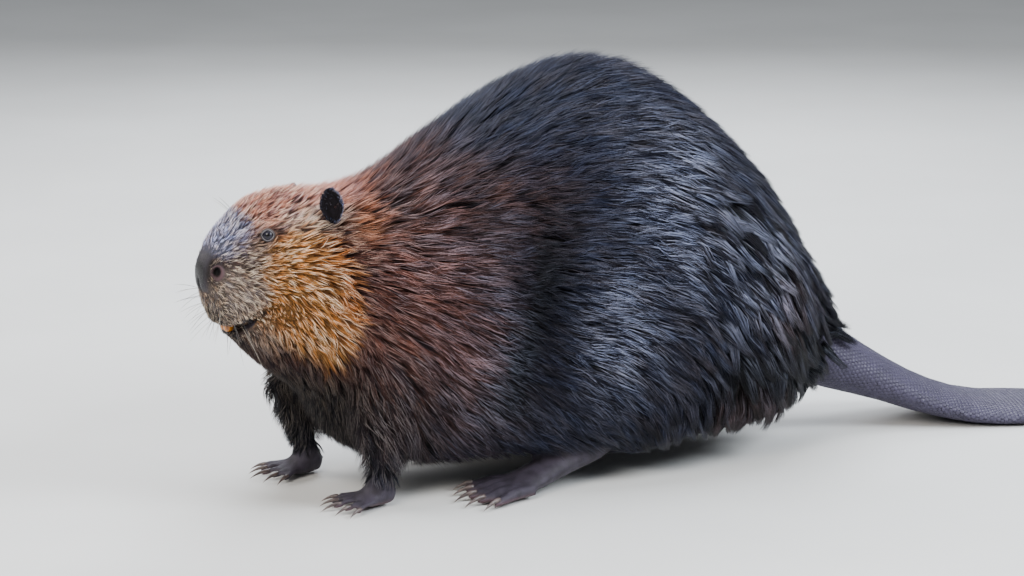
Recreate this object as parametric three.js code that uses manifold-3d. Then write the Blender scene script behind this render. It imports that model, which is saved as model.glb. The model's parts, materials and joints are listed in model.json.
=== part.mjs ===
// A beaver standing on all fours with its back arched, at life size.
// Millimetres, +Z up. The nose points to -Y and the animal's left side is +X.
// The soles and the flat of the tail rest on z = 0, and every outline is the outside of the coat.
import * as THREE from "three";
import { mergeVertices } from "three/addons/utils/BufferGeometryUtils.js";
import Module from "manifold-3d";

const wasm = await Module();
wasm.setup();

// ---------------------------------------------------------------- driving dimensions
const GAP = 0.4; // space left all round a part that is set into another
const PRECISION = 0.25; // how far a finished surface may be flattened

// Slices across the body, nose to rump: the top and bottom [y, z] of each in the plane x = 0, its half-width,
// how high its widest line lies as a share of the way up, and the power that squares its lower half.
const BODY = [
  { top: [-393, 231], bottom: [-391, 192], half: 17, widest: 0.5, belly: 0.78 }, // nose pad
  { top: [-385, 249], bottom: [-384, 171], half: 28, widest: 0.42, belly: 0.78 }, // upper lip
  { top: [-370, 265], bottom: [-366, 151], half: 37, widest: 0.5, belly: 0.78 }, // chin
  { top: [-350, 280], bottom: [-347, 131], half: 46, widest: 0.52, belly: 0.78 }, // eyes
  { top: [-317, 288], bottom: [-327, 114], half: 60, widest: 0.48, belly: 0.76 }, // cheeks
  { top: [-275, 287], bottom: [-297, 90], half: 72, widest: 0.46, belly: 0.72 }, // ears
  { top: [-226, 297], bottom: [-262, 43], half: 82, widest: 0.44, belly: 0.66 }, // neck
  { top: [-160, 335], bottom: [-206, 33], half: 97, widest: 0.4, belly: 0.5 }, // shoulders
  { top: [-96, 368], bottom: [-135, 32], half: 114, widest: 0.39, belly: 0.44 }, // chest
  { top: [-28, 387], bottom: [-50, 27], half: 129, widest: 0.4, belly: 0.42 }, // ribs
  { top: [42, 374], bottom: [38, 27], half: 136, widest: 0.4, belly: 0.44 }, // loin
  { top: [106, 330], bottom: [108, 30], half: 132, widest: 0.4, belly: 0.5 }, // hips
  { top: [163, 273], bottom: [156, 36], half: 114, widest: 0.4, belly: 0.56 }, // buttocks
  { top: [209, 207], bottom: [184, 44], half: 84, widest: 0.42, belly: 0.64 }, // rump
  { top: [254, 146], bottom: [206, 66], half: 50, widest: 0.45, belly: 0.7 }, // skirt of fur over the tail
];
const SNOUT_ROUNDING = 6; // how far the snout bulges ahead of its first slice
const RUMP_ROUNDING = 18;
const HEAD_CUT = { y: -277, z: 195, lean: 8 }; // the plane between head and neck, leaning back at the top
const NECK_CUT = { y: -221, z: 195, lean: 11 };

// Swellings and hollows of both sides of the body: where, how far they reach and how far they rise.
const SWELLINGS = [
  { at: [60, -296, 200], reach: [32, 32, 34], rise: 7 }, // cheek
  { at: [50, -308, 136], reach: [30, 26, 22], rise: 6 }, // fringe under the jaw
  { at: [33, -342, 268], reach: [12, 14, 9], rise: 3.5 }, // brow
  { at: [42, -350, 249], reach: [12, 10, 9], rise: -2.5 }, // eye socket
  { at: [38, -364, 228], reach: [14, 14, 14], rise: -3 }, // hollow beside the snout
  { at: [21, -387, 218], reach: [9, 9, 9], rise: 3 }, // wing of the nostril
  { at: [24, -378, 190], reach: [15, 15, 15], rise: 5 }, // pad of the upper lip
  { at: [98, -172, 165], reach: [50, 46, 70], rise: 9 }, // shoulder
  { at: [122, -108, 190], reach: [60, 22, 80], rise: -9 }, // groove between shoulder and thigh
];

const EYE = { at: [36.5, -345, 251], radius: 5.6 };
const EAR = { half: [5.5, 10.5, 17], flare: 44, hollow: [5.5, 7.8, 12.3], hollowAt: [5, -5, 1] };
const EAR_POSE = { left: { at: [47, -287, 274], lean: 4 }, right: { at: [48, -284, 263], lean: -34 } };
const NOSTRIL = { at: [23, -388, 219], half: [4.2, 4.5, 5] };
const MOUTH = { at: [0, -368, 167], half: [27, 19, 5], tip: 20 };
const INCISOR = { half: [4.3, 4.8, 13], x: 4.2, at: [-367, 172], tip: 8 };

// Stations down the left foreleg from inside the shoulder to the wrist: [x, y, z, half-width, half-depth],
// and the share of the foot's step forward that each takes.
const FORELEG = [
  { at: [60, -178, 192, 30, 40], share: 0.3 },
  { at: [68, -210, 148, 35, 50], share: 1 },
  { at: [71, -241, 104, 30, 45], share: 2.3 },
  { at: [69, -249, 66, 22, 26], share: 1.8 },
  { at: [67, -252, 31, 13, 13.5], share: 1 },
  { at: [66, -254, 12, 15, 12], share: 1 },
];
const STEP = { left: 0, right: 14 };
const DIGITS = [-2, -1, 0, 1, 2];

// Stations down the left hind leg from inside the thigh to the heel, which is lifted off the floor.
const HINDLEG = [
  [94, 54, 152, 40, 74],
  [97, 26, 102, 44, 80],
  [94, -2, 62, 30, 44],
  [86, -22, 42, 18, 22],
];

// Soles and digits. Digit, claw and web stations are [share of the digit's reach, height, half-width],
// and a web is stretched between the web stations of neighbouring digits.
const FOREPAW = {
  palm: [[66, -246, 12.5, 13, 12], [66, -258, 10, 16, 10], [66, -268, 8, 17.5, 8]],
  root: [66, -264], spacing: 7.4, spread: 14, turn: 0, reach: 33, shortening: 3.5, longest: 0,
  digit: [[0, 7.5, 4.6], [0.5, 9, 3.7], [1, 3.9, 3.8]],
  claw: [[0.86, 5.8, 2.3], [1.14, 5.2, 1.8], [1.4, 1.4, 0.7]],
  web: [],
};
const HINDPAW = {
  palm: [[84, -16, 42, 15, 15], [84, -58, 30, 17, 13], [86, -98, 17, 22, 12], [88, -128, 8, 27, 9]],
  root: [88, -120], spacing: 10, spread: 9, turn: 3, reach: 58, shortening: 6, longest: 0.6,
  digit: [[0, 8, 7.4], [0.45, 9, 6.4], [0.8, 6, 5.6], [1, 4.6, 4.6]],
  claw: [[0.92, 6.8, 3], [1.12, 6.2, 2.2], [1.3, 1.5, 0.7]],
  web: [[0, 5, 2.4], [0.78, 3.2, 2]],
};

// Stations [x, y, z, half-width, half-thickness] along the tail, which sinks to the floor and swings left.
const TAIL = [
  [0, 222, 88, 40, 36],
  [2, 270, 66, 42, 29],
  [7, 318, 44, 46, 21],
  [17, 366, 23, 54, 16],
  [31, 418, 9, 61, 12],
  [48, 470, 7, 63, 10],
  [64, 516, 5.5, 56, 8.5],
  [73, 543, 4, 38, 7],
  [77, 556, 3, 18, 5],
];
const TAIL_ACROSS = [0.94, -0.34, 0];

// ---------------------------------------------------------------- lofts
// Pushes the vertices of a sphere geometry to place(along, round): along runs 0 to 1 from pole to pole
// and round is the angle about the axis.
function loft(place, around, rings) {
  const skin = new THREE.SphereGeometry(1, around, rings);
  const at = skin.getAttribute("position");
  for (let i = 0; i < at.count; i++) {
    const along = Math.acos(THREE.MathUtils.clamp(at.getY(i), -1, 1)) / Math.PI;
    at.setXYZ(i, ...place(along, Math.atan2(at.getZ(i), at.getX(i))).toArray());
  }
  return solid(skin);
}

// Splits a loft's length into a rounded first end, the run and a rounded last end. Gives the share of
// the run, how far the end leans out (-1 to 1) and how wide the slice still is.
function runOf(along, firstEnd, lastEnd) {
  const share = THREE.MathUtils.clamp((along - firstEnd) / (1 - firstEnd - lastEnd), 0, 1);
  const before = Math.max(0, 1 - along / firstEnd);
  const after = Math.max(0, 1 - (1 - along) / lastEnd);
  const turn = ((after - before) * Math.PI) / 2;
  return { share, lean: Math.sin(turn), width: Math.cos(turn) };
}

const curve = (points) => new THREE.CatmullRomCurve3(points.map((p) => new THREE.Vector3(...p)));

// A tube with rounded ends through stations [x, y, z, half-width, half-depth], the half-width lying across.
// grow thickens it all round.
function limb(stations, { around, rings, across = [1, 0, 0], ends = 0.2, grow = 0 }) {
  const path = curve(stations.map(([x, y, z]) => [x, y, z]));
  const girth = curve(stations.map(([, , , wide, deep]) => [wide, deep, 0]));
  return loft((along, round) => {
    const { share, lean, width } = runOf(along, ends, ends);
    const tangent = path.getTangent(share);
    const deep = new THREE.Vector3().crossVectors(tangent, new THREE.Vector3(...across)).normalize();
    const wide = new THREE.Vector3().crossVectors(deep, tangent);
    const half = girth.getPoint(share).addScalar(grow);
    return path.getPoint(share)
      .addScaledVector(wide, half.x * width * Math.cos(round))
      .addScaledVector(deep, half.y * width * Math.sin(round))
      .addScaledVector(tangent, lean * Math.min(half.x, half.y));
  }, around, rings);
}

// ---------------------------------------------------------------- solids
// A closed geometry as a solid, turned right side out.
function solid(geometry) {
  const bare = new THREE.BufferGeometry().setAttribute("position", geometry.getAttribute("position"));
  const merged = mergeVertices(bare.setIndex(geometry.index), 1e-4);
  const triVerts = new Uint32Array(merged.index.array);
  const vertProperties = new Float32Array(merged.getAttribute("position").array);
  const made = new wasm.Manifold(new wasm.Mesh({ numProp: 3, vertProperties, triVerts }));
  if (made.volume() > 0) return made;
  for (let i = 0; i < triVerts.length; i += 3) {
    [triVerts[i + 1], triVerts[i + 2]] = [triVerts[i + 2], triVerts[i + 1]];
  }
  return new wasm.Manifold(new wasm.Mesh({ numProp: 3, vertProperties, triVerts }));
}

const joined = (solids) => solids.reduce((whole, next) => whole.add(next));
const onFloor = (whole) => whole.trimByPlane([0, 0, 1], 0);

// An ellipsoid thickened by grow, tipped about X and then turned about Z by angles in degrees.
function ball(at, half, { tip = 0, turn = 0, grow = 0, around = 12, rings = 8 } = {}) {
  const round = new THREE.SphereGeometry(1, around, rings).rotateX(Math.PI / 2);
  round.scale(...half.map((h) => h + grow));
  round.rotateX(THREE.MathUtils.degToRad(tip)).rotateZ(THREE.MathUtils.degToRad(turn)).translate(...at);
  return solid(round);
}

// The part of a solid ahead of a cut across the body (side 1) or behind it (side -1).
function sliced(whole, { y, z, lean }, side) {
  const turn = THREE.MathUtils.degToRad(lean);
  const normal = [0, -Math.cos(turn) * side, Math.sin(turn) * side];
  return whole.trimByPlane(normal, normal[1] * y + normal[2] * z + GAP / 2);
}

// ---------------------------------------------------------------- body
function bodyLoft() {
  const top = curve(BODY.map((slice) => [0, ...slice.top]));
  const bottom = curve(BODY.map((slice) => [0, ...slice.bottom]));
  const form = curve(BODY.map((slice) => [slice.half, slice.widest, slice.belly]));
  const swellings = [1, -1].flatMap((side) => SWELLINGS.map(({ at: [x, y, z], reach, rise }) => (
    { at: new THREE.Vector3(side * x, y, z), reach: new THREE.Vector3(...reach), rise })));
  return loft((along, round) => {
    const { share, lean, width } = runOf(along ** 1.1, 0.06, 0.05);
    const high = top.getPoint(share);
    const low = bottom.getPoint(share);
    const { x: half, y: widest, z: belly } = form.getPoint(share);
    const middle = low.clone().lerp(high, widest);
    const up = high.clone().sub(low).multiplyScalar(Math.sin(round) > 0 ? 1 - widest : widest);
    const ahead = new THREE.Vector3(0, -up.z, up.y).normalize();
    const fullness = Math.sin(round) > 0 ? 0.92 : belly;
    const full = (value) => (Math.abs(value) < 1e-6 ? 0 : Math.sign(value) * Math.abs(value) ** fullness);
    const out = new THREE.Vector3(half * full(Math.cos(round)), 0, 0);
    out.addScaledVector(up, full(Math.sin(round)));
    const ray = out.clone().normalize();
    out.multiplyScalar(width).addScaledVector(ahead, -lean * (lean < 0 ? SNOUT_ROUNDING : RUMP_ROUNDING));
    const point = middle.add(out);
    const rise = swellings.reduce((sum, swelling) => (
      sum + swelling.rise * Math.exp(-point.clone().sub(swelling.at).divide(swelling.reach).lengthSq())), 0);
    return point.addScaledVector(ray, rise * width);
  }, 26, 34);
}

// ---------------------------------------------------------------- legs
// One digit of a foot, the index counting outward from -2 to 2: its flesh, the rod its webs hang from,
// its claw and the socket that the claw sits in.
function digit(foot, index) {
  const turn = THREE.MathUtils.degToRad(foot.turn + index * foot.spread);
  const reach = foot.reach - Math.abs(index - foot.longest) * foot.shortening;
  const across = [Math.cos(turn), Math.sin(turn), 0];
  const rod = (stations, detail) => limb(stations.map(([share, z, half]) => [
    foot.root[0] + index * foot.spacing + Math.sin(turn) * reach * share,
    foot.root[1] - Math.cos(turn) * reach * share, z, half, half]), { across, ...detail });
  const claw = (grow) => rod(foot.claw, { around: 5, rings: 4, ends: 0.25, grow });
  return {
    flesh: rod(foot.digit, { around: 5, rings: 5 }),
    web: foot.web.length ? rod(foot.web, { around: 4, rings: 3 }) : null,
    claw: claw(0),
    socket: claw(GAP),
  };
}

// A left leg on its foot: its flesh, the room it needs in the body, and its claws.
function leg(stations, foot) {
  const digits = DIGITS.map((index) => digit(foot, index));
  const webs = digits.slice(1).map((next, i) => [digits[i].web, next.web]).filter(([web]) => web);
  const shape = (grow) => joined([
    limb(stations, { around: 10, rings: 8, grow }),
    limb(foot.palm, { around: 8, rings: 6, grow })]);
  const toes = joined([...digits.map((d) => d.flesh), ...webs.map((pair) => wasm.Manifold.hull(pair))]);
  const flesh = shape(0).add(toes).subtract(joined(digits.map((d) => d.socket)));
  return { flesh: onFloor(flesh), room: shape(GAP), claws: digits.map((d) => d.claw) };
}

// Stations moved forward by each one's share of a step.
const stepped = (stations, step) => (
  stations.map(({ at: [x, y, ...rest], share }) => [x, y - share * step, ...rest]));

// A foot moved forward by a step.
function movedFoot(foot, step) {
  const palm = foot.palm.map(([x, y, ...rest]) => [x, y - step, ...rest]);
  return { ...foot, palm, root: [foot.root[0], foot.root[1] - step] };
}

const tail = (grow) => limb(TAIL, { around: 16, rings: 17, across: TAIL_ACROSS, ends: 0.08, grow });

// ---------------------------------------------------------------- the parts
const group = new THREE.Group();

function show(name, made, look) {
  const mesh = made.simplify(PRECISION).getMesh();
  const geometry = new THREE.BufferGeometry()
    .setAttribute("position", new THREE.BufferAttribute(new Float32Array(mesh.vertProperties), 3))
    .setIndex(new THREE.BufferAttribute(new Uint32Array(mesh.triVerts), 1));
  geometry.computeVertexNormals();
  const part = new THREE.Mesh(geometry, look);
  part.name = name;
  group.add(part);
}

const look = (color, roughness) => new THREE.MeshStandardMaterial({ color, roughness, metalness: 0 });
const FUR = look(0x3a2a20, 0.75);
const SCALES = look(0x4a4a50, 0.5);
const HORN = look(0x2a2522, 0.4);
const WET = look(0x0a0808, 0.05);
const ENAMEL = look(0xc9741c, 0.3);

// Mirrors a solid of the left side to the side wanted.
const onSide = (whole, side) => (side < 0 ? whole.mirror([1, 0, 0]) : whole);
const spot = ([x, y, z], side) => [side * x, y, z];

let body = bodyLoft();
for (const [name, side] of [["left", 1], ["right", -1]]) {
  const fore = leg(stepped(FORELEG, STEP[name]), movedFoot(FOREPAW, STEP[name]));
  const hind = leg(HINDLEG, HINDPAW);
  const eye = (grow) => ball(spot(EYE.at, side), Array(3).fill(EYE.radius), { grow, around: 10, rings: 8 });
  const { at, lean: tip } = EAR_POSE[name];
  const turn = -side * EAR.flare;
  const ear = (grow) => ball(spot(at, side), EAR.half, { tip, turn, grow, around: 12, rings: 8 });
  const scoopAt = at.map((value, axis) => value + EAR.hollowAt[axis]);
  const scoop = ball(spot(scoopAt, side), EAR.hollow, { tip, turn, around: 10, rings: 6 });
  const nostril = ball(spot(NOSTRIL.at, side), NOSTRIL.half, { around: 6, rings: 5 });
  const rooms = [fore.room, hind.room].map((room) => onSide(room, side));
  body = body.subtract(joined([...rooms, ear(GAP), eye(GAP), nostril]));
  show("foreleg_" + name, onSide(fore.flesh, side), FUR);
  show("hindleg_" + name, onSide(hind.flesh, side), FUR);
  show("ear_" + name, ear(0).subtract(scoop), FUR);
  show("eye_" + name, eye(0), WET);
  fore.claws.forEach((claw, i) => show(`foreclaw_${name}_${i + 1}`, onSide(claw, side), HORN));
  hind.claws.forEach((claw, i) => show(`hindclaw_${name}_${i + 1}`, onSide(claw, side), HORN));
}

const incisors = (grow) => joined([1, -1].map((side) => (
  ball([side * INCISOR.x, ...INCISOR.at], INCISOR.half, { tip: INCISOR.tip, grow, around: 8, rings: 6 }))));
show("incisors", incisors(0), ENAMEL);
const mouth = ball(MOUTH.at, MOUTH.half, { tip: MOUTH.tip, around: 12, rings: 6 });
body = body.subtract(mouth).subtract(incisors(GAP));

body = body.subtract(tail(GAP));
show("tail", onFloor(tail(0)), SCALES);
show("head", sliced(body, HEAD_CUT, 1), FUR);
show("neck", sliced(sliced(body, HEAD_CUT, -1), NECK_CUT, 1), FUR);
show("trunk", sliced(body, NECK_CUT, -1), FUR);

// The origin sits on the floor under the middle of the animal.
const box = new THREE.Box3().setFromObject(group);
const middle = box.getCenter(new THREE.Vector3());
group.children.forEach((part) => part.geometry.translate(-middle.x, -middle.y, 0));

export default group;
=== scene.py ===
"""A life-size beaver on its solid parts: skin, coat, eyes, ears, teeth, claws, tail scales and whiskers."""

import json
import math

import bmesh
import bpy
import numpy as np
from bpy.props import FloatProperty, FloatVectorProperty, IntProperty, PointerProperty
from mathutils import Matrix, Vector
from mathutils.bvhtree import BVHTree
from mathutils.kdtree import KDTree

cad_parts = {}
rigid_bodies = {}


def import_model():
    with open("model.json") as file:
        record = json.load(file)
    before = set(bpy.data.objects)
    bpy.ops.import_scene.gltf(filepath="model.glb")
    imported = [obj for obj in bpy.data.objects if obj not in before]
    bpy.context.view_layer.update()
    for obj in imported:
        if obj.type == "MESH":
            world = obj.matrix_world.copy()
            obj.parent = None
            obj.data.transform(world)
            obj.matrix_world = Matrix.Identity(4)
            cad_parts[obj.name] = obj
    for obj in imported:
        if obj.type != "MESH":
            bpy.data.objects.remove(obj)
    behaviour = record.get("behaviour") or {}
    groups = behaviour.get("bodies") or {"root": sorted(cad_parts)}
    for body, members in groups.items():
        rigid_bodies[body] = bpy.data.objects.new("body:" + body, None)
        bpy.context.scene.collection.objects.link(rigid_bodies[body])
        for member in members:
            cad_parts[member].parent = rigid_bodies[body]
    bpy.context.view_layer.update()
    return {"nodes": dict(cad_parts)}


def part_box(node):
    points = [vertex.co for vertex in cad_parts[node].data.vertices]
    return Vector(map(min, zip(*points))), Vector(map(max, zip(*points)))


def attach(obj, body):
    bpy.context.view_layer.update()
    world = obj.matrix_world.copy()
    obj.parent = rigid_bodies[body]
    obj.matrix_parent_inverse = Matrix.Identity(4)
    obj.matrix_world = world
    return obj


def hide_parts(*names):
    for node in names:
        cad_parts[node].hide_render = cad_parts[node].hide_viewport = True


bl_info = {
    "name": "Beaver",
    "version": (1, 0, 0),
    "blender": (4, 5, 0),
    "location": "View3D > Sidebar > Beaver",
    "description": "Builds a furred beaver around its solid parts",
    "category": "Object",
}

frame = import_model()

MM = 0.001
SIDES = {"left": 1, "right": -1}

# Places on the animal are in millimetres: x to its left, y towards the tail from under the hump, z up.
EYE = (36.5, -345.0, 251.0)
EYE_RADIUS = 5.6
EYE_OUT = Vector((0.91, -0.38, 0.16)).normalized()
EYE_OPENING = (4.9, 4.4)  # half-length and half-height of the gap between the lids
NOSTRIL = (23.0, -388.0, 218.5)
NOSE_CREASE = [(3, -397, 232), (12, -393, 237), (20, -387, 237), (27, -381, 230), (31, -378, 220)]
# The line between the lips, from the middle to the corner: place, half its opening and its depth.
MOUTH_LINE = [(0, -373, 167), (12, -372, 167), (22, -368, 169), (31, -362, 173), (38, -355, 180),
              (47, -344, 184), (56, -333, 184)]
MOUTH_HALF = [6.6, 6.8, 6.2, 3.8, 1.8, 1.2, 0.8]
MOUTH_DEPTH = [11, 14, 13, 8, 3.2, 2.2, 1.0]
# The line of the hollow before the thigh: z and y.
GROOVE = [(80, -122), (120, -118), (170, -112), (220, -106), (270, -98), (320, -86)]
EARS = {"left": ((47, -287, 274), 4), "right": ((48, -284, 263), -34)}  # place, and lean in degrees
EAR_HALF = (10.0, 15.4)
EAR_FLARE = 44  # degrees that the ears open outwards
TOOTH_AT = (4.3, -370.5, 172.0)  # middle of a front tooth at the lip
TOOTH_HALF = 4.2
TAIL_SPINE = [(0, 180, 107), (0, 222, 88), (2, 270, 66), (7, 318, 44), (17, 366, 23), (31, 418, 9),
              (48, 470, 7), (64, 516, 5.5), (76, 552, 3.5)]


def shift_of_frame():
    """How far the frame's origin lies ahead of the animal's own, in metres."""
    low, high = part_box("eye_left")
    return (low[1] + high[1]) / 2 - EYE[1] * MM


SHIFT = shift_of_frame()


def spot(x, y, z):
    """A place on the animal, in metres in the frame."""
    return Vector((x * MM, y * MM + SHIFT, z * MM))


def own(points):
    """Frame positions as an array of the animal's own millimetres."""
    return (np.asarray(points, float) - (0, SHIFT, 0)) / MM


def framed(points):
    """The animal's own millimetres as an array of frame positions."""
    return np.asarray(points, float) * MM + (0, SHIFT, 0)


# ---------------------------------------------------------------- sums on arrays of places
def step(value, low, high):
    """A smooth step from 0 at low to 1 at high, either way round."""
    t = np.clip((value - low) / (high - low), 0, 1)
    return t * t * (3 - 2 * t)


def folded(p):
    """Both sides of the animal laid over the left."""
    return np.stack([np.abs(p[:, 0]), p[:, 1], p[:, 2]], 1)


def blob(p, centre, reach):
    """1 at a centre, fading out smoothly over reach, on both sides of the animal."""
    return np.exp(-(((folded(p) - centre) / reach) ** 2).sum(1))


def unit(v):
    return v / np.maximum(np.linalg.norm(v, axis=-1, keepdims=True), 1e-12)


def on_both(vectors, p):
    """Vectors meant for the left side, mirrored where a place is on the right."""
    mirror = np.ones((len(p), 3))
    mirror[p[:, 0] < 0, 0] = -1
    return np.asarray(vectors, float) * mirror


def from_line(p, line):
    """Distance from a broken line on the left side, and where along it, counted in its points."""
    q, line = folded(p), np.asarray(line, float)
    best, where = np.full(len(q), np.inf), np.zeros(len(q))
    for i, (a, b) in enumerate(zip(line[:-1], line[1:])):
        t = np.clip((q - a) @ (b - a) / ((b - a) @ (b - a)), 0, 1)
        away = np.linalg.norm(q - a - t[:, None] * (b - a), axis=1)
        where = np.where(away < best, i + t, where)
        best = np.minimum(away, best)
    return best, where


def wave(p, length, turn):
    """A slow, even wandering between -1 and 1."""
    x, y, z = (p / length * 2 * math.pi).T
    return (np.sin(y * 1.1 + z * 0.6 + turn) + np.sin(z * 1.3 - y * 0.5 + x + 2 * turn)
            + np.sin(x * 0.9 + y * 0.4 + 3.3 * turn)) / 3


# ---------------------------------------------------------------- the animal's markings, and the painted shade and highlight of its coat
def bare(p):
    """Where the skin is naked: nose, mouth, hands, feet and tail."""
    q = folded(p)
    x, y, z = q.T
    pad = (1 - step(x, 11, 15)) * (1 - step(y, -391, -387)) * step(z, 197, 204) * (1 - step(z, 231, 237))
    wing = (1 - step(np.linalg.norm((q - NOSTRIL) / 8, axis=1), 0.7, 1.05)) * (1 - step(y, -383, -380))
    mouth = 1 - step(from_line(p, MOUTH_LINE[:4])[0], 4.2, 5.6)
    tail = step(y - np.interp(z, [60, 84, 106, 135], [184, 190, 228, 300]), 0, 7)
    hand = (1 - step(z, 22, 32)) * (1 - step(y, -236, -222))
    foot = (1 - step(z, 34, 52)) * step(y, -230, -222) * (1 - step(y, -44, -24)) * step(x, 46, 56)
    return np.clip(np.maximum.reduce([pad, wing, mouth, tail, hand, foot]), 0, 1)


def golden(p):
    """How golden the coat is, on the cheeks and the throat."""
    _, y, z = folded(p).T
    cheek = 1 - step(np.hypot((y + 322) / 46, (z - 192) / 66), 0.80, 1.0)
    return cheek * step(y, -377, -352) * step(z + 0.37 * (y + 322), 146, 162)


def valley(p):
    """The hollow between the ribs and the thigh: the skin is pushed in there, and painted shade darkens the
    coat and dims its painted highlight.
    """
    x, y, z = folded(p).T
    line = np.interp(z, *np.array(GROOVE, float).T)
    flank = step(x, 50, 95) * step(z, 70, 115) * (1 - step(z, 240, 318))
    return np.exp(-(((y - line) / 25) ** 2)) * flank


def tones(p, coat):
    """The coat's colour at places on the animal, with painted shade in the hollow before the thigh, on the
    chest, under the throat and under the rump.
    """
    _, y, z = folded(p).T
    drift = 0.5 + 0.5 * wave(p, 120, 1.0)
    gold = golden(p)
    rear = step(y + 0.25 * (z - 190), -312, -284)
    crown = step(z - 0.2 * (y + 300), 250, 270) * (1 - step(y, -288, -236))
    neck = step(y, -392, -372) * (1 - step(y + 0.25 * (z - 200), -262, -150))
    snout = np.hypot((y + 372) / 25, (z - 196) / 30)
    bridge = np.hypot((y + 378) / 21, (z - 250) / 24)
    brown = (1 - step(y - 0.2 * (z - 220), -178, -96)) * (1 - step(z + 0.45 * (y + 200), 285, 340))
    lean = np.stack([0 * y, 14 + 24 * (1 - step(z, 110, 210)), 0 * y], 1)
    ragged = z + 9 * wave(p, 40, 3.0)
    layers = [
        # shoulder, ribs and neck
        (coat.umber, brown * step(z + 0.3 * y, -45, 40) * (0.6 + 0.4 * drift)),
        (coat.umber, blob(p, (95, -118, 262), (50, 26, 34)) * 0.7),
        (coat.rufous, neck * step(z + 0.2 * y, 60, 120)),
        # crown, and the fur round the ear
        (coat.crown, crown),
        (coat.umber, blob(p, (55, -244, 262), (30, 24, 22)) * 0.7),
        (coat.ginger, blob(p, (56, -269, 256), (24, 12, 18)) * 0.85),
        # cheek and throat
        (coat.gold, gold),
        (coat.ginger, gold * rear * 0.85),
        # round the eye, the side of the snout and the chin
        (coat.tan, blob(p, (34, -360, 238), (18, 14, 20)) * 0.7),
        (coat.straw, blob(p, (48, -318, 261), (19, 26, 10)) * 0.45),
        (coat.tan, (1 - step(snout, 0.7, 1.1)) * 0.9),
        (coat.tan, blob(p, (38, -352, 160), (16, 14, 12)) * 1.1),
        # bridge of the nose: its sleek hair, with a painted blue-grey sheen
        (coat.slate, (1 - step(bridge, 0.75, 1.1)) * (1 - step(p[:, 0] ** 2, 450, 900))),
        # lips, and the corners of the eye
        (coat.lip, blob(p, (8, -386, 178), (18, 12, 11)) + blob(p, (8, -368, 154), (15, 12, 10))),
        (coat.lip, (1 - step(from_line(p, MOUTH_LINE)[0], 2.5, 5.5)) * 0.9),
        (coat.lip, blob(p, (33, -354, 249), (4, 3, 3)) + blob(p, (40, -334, 256), (5, 4, 3))),
        # painted shade in the hollow before the thigh, on the chest and under the throat
        (coat.shadow, valley(p + lean) * (1 - 0.5 * step(z, 225, 270)) * 0.97),
        (coat.shadow, blob(p, (0, -262, 75), (60, 34, 42)) * 0.85),
        (coat.shadow, (1 - step(z, 118, 144)) * (1 - step(y, -288, -250)) * 0.75),
        # rump; under it, painted shade and brown underfur
        (coat.umber, blob(p, (118, 142, 160), (50, 34, 40)) * 0.6),
        (coat.shadow, step(y, 30, 75) * (1 - step(z - 0.15 * y, 112, 142)) * 0.9),
        (coat.umber, step(y, 40, 76) * (1 - step(y, 140, 175)) * (1 - step(ragged, 84, 116)) * 0.5),
    ]
    colours = np.tile(np.array(coat.dark), (len(p), 1))
    for tone, share in layers:
        colours += (np.array(tone) - colours) * np.clip(share, 0, 1)[:, None]
    return colours


def bleached(p):
    """How far the tips of the hair are bleached to straw."""
    _, y, z = folded(p).T
    streak = blob(p, (48, -318, 262), (24, 34, 14)) + blob(p, (60, -298, 230), (24, 26, 18)) * 0.5
    neck = (1 - step(y, -262, -190)) * 0.10
    crown = step(z - 0.2 * (y + 300), 256, 270) * (1 - step(y, -300, -274)) * 0.6
    muzzle = 1 - step(np.hypot((y + 366) / 34, (z - 200) / 46), 0.6, 1.1)
    return np.clip(np.maximum.reduce([golden(p) * 0.8, streak, neck, crown, muzzle * 0.9]), 0, 1)


def gleam(p):
    """How brightly wet hair catches the sky: a painted highlight added to the hair's colour, which also sets
    the weight of its coat.
    """
    haunch = blob(p, (120, 12, 270), (80, 54, 92)) * 0.95
    thigh = blob(p, (130, -66, 156), (60, 46, 54))
    rear = blob(p, (120, 98, 212), (70, 60, 60)) * 0.66
    ribs = blob(p, (110, -178, 130), (70, 60, 60)) * 0.42
    neck = blob(p, (85, -215, 215), (70, 50, 70)) * 0.3
    bridge = blob(p, (8, -382, 250), (20, 18, 18)) * 0.6
    patchy = 0.85 + 0.3 * wave(p, 70, 2.0)
    body = (np.maximum.reduce([haunch, thigh, rear, ribs, neck]) + 0.1) * patchy * (1 - 0.85 * valley(p))
    return np.clip(body * step(p[:, 1], -300, -255) + bridge, 0, 1)


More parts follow.
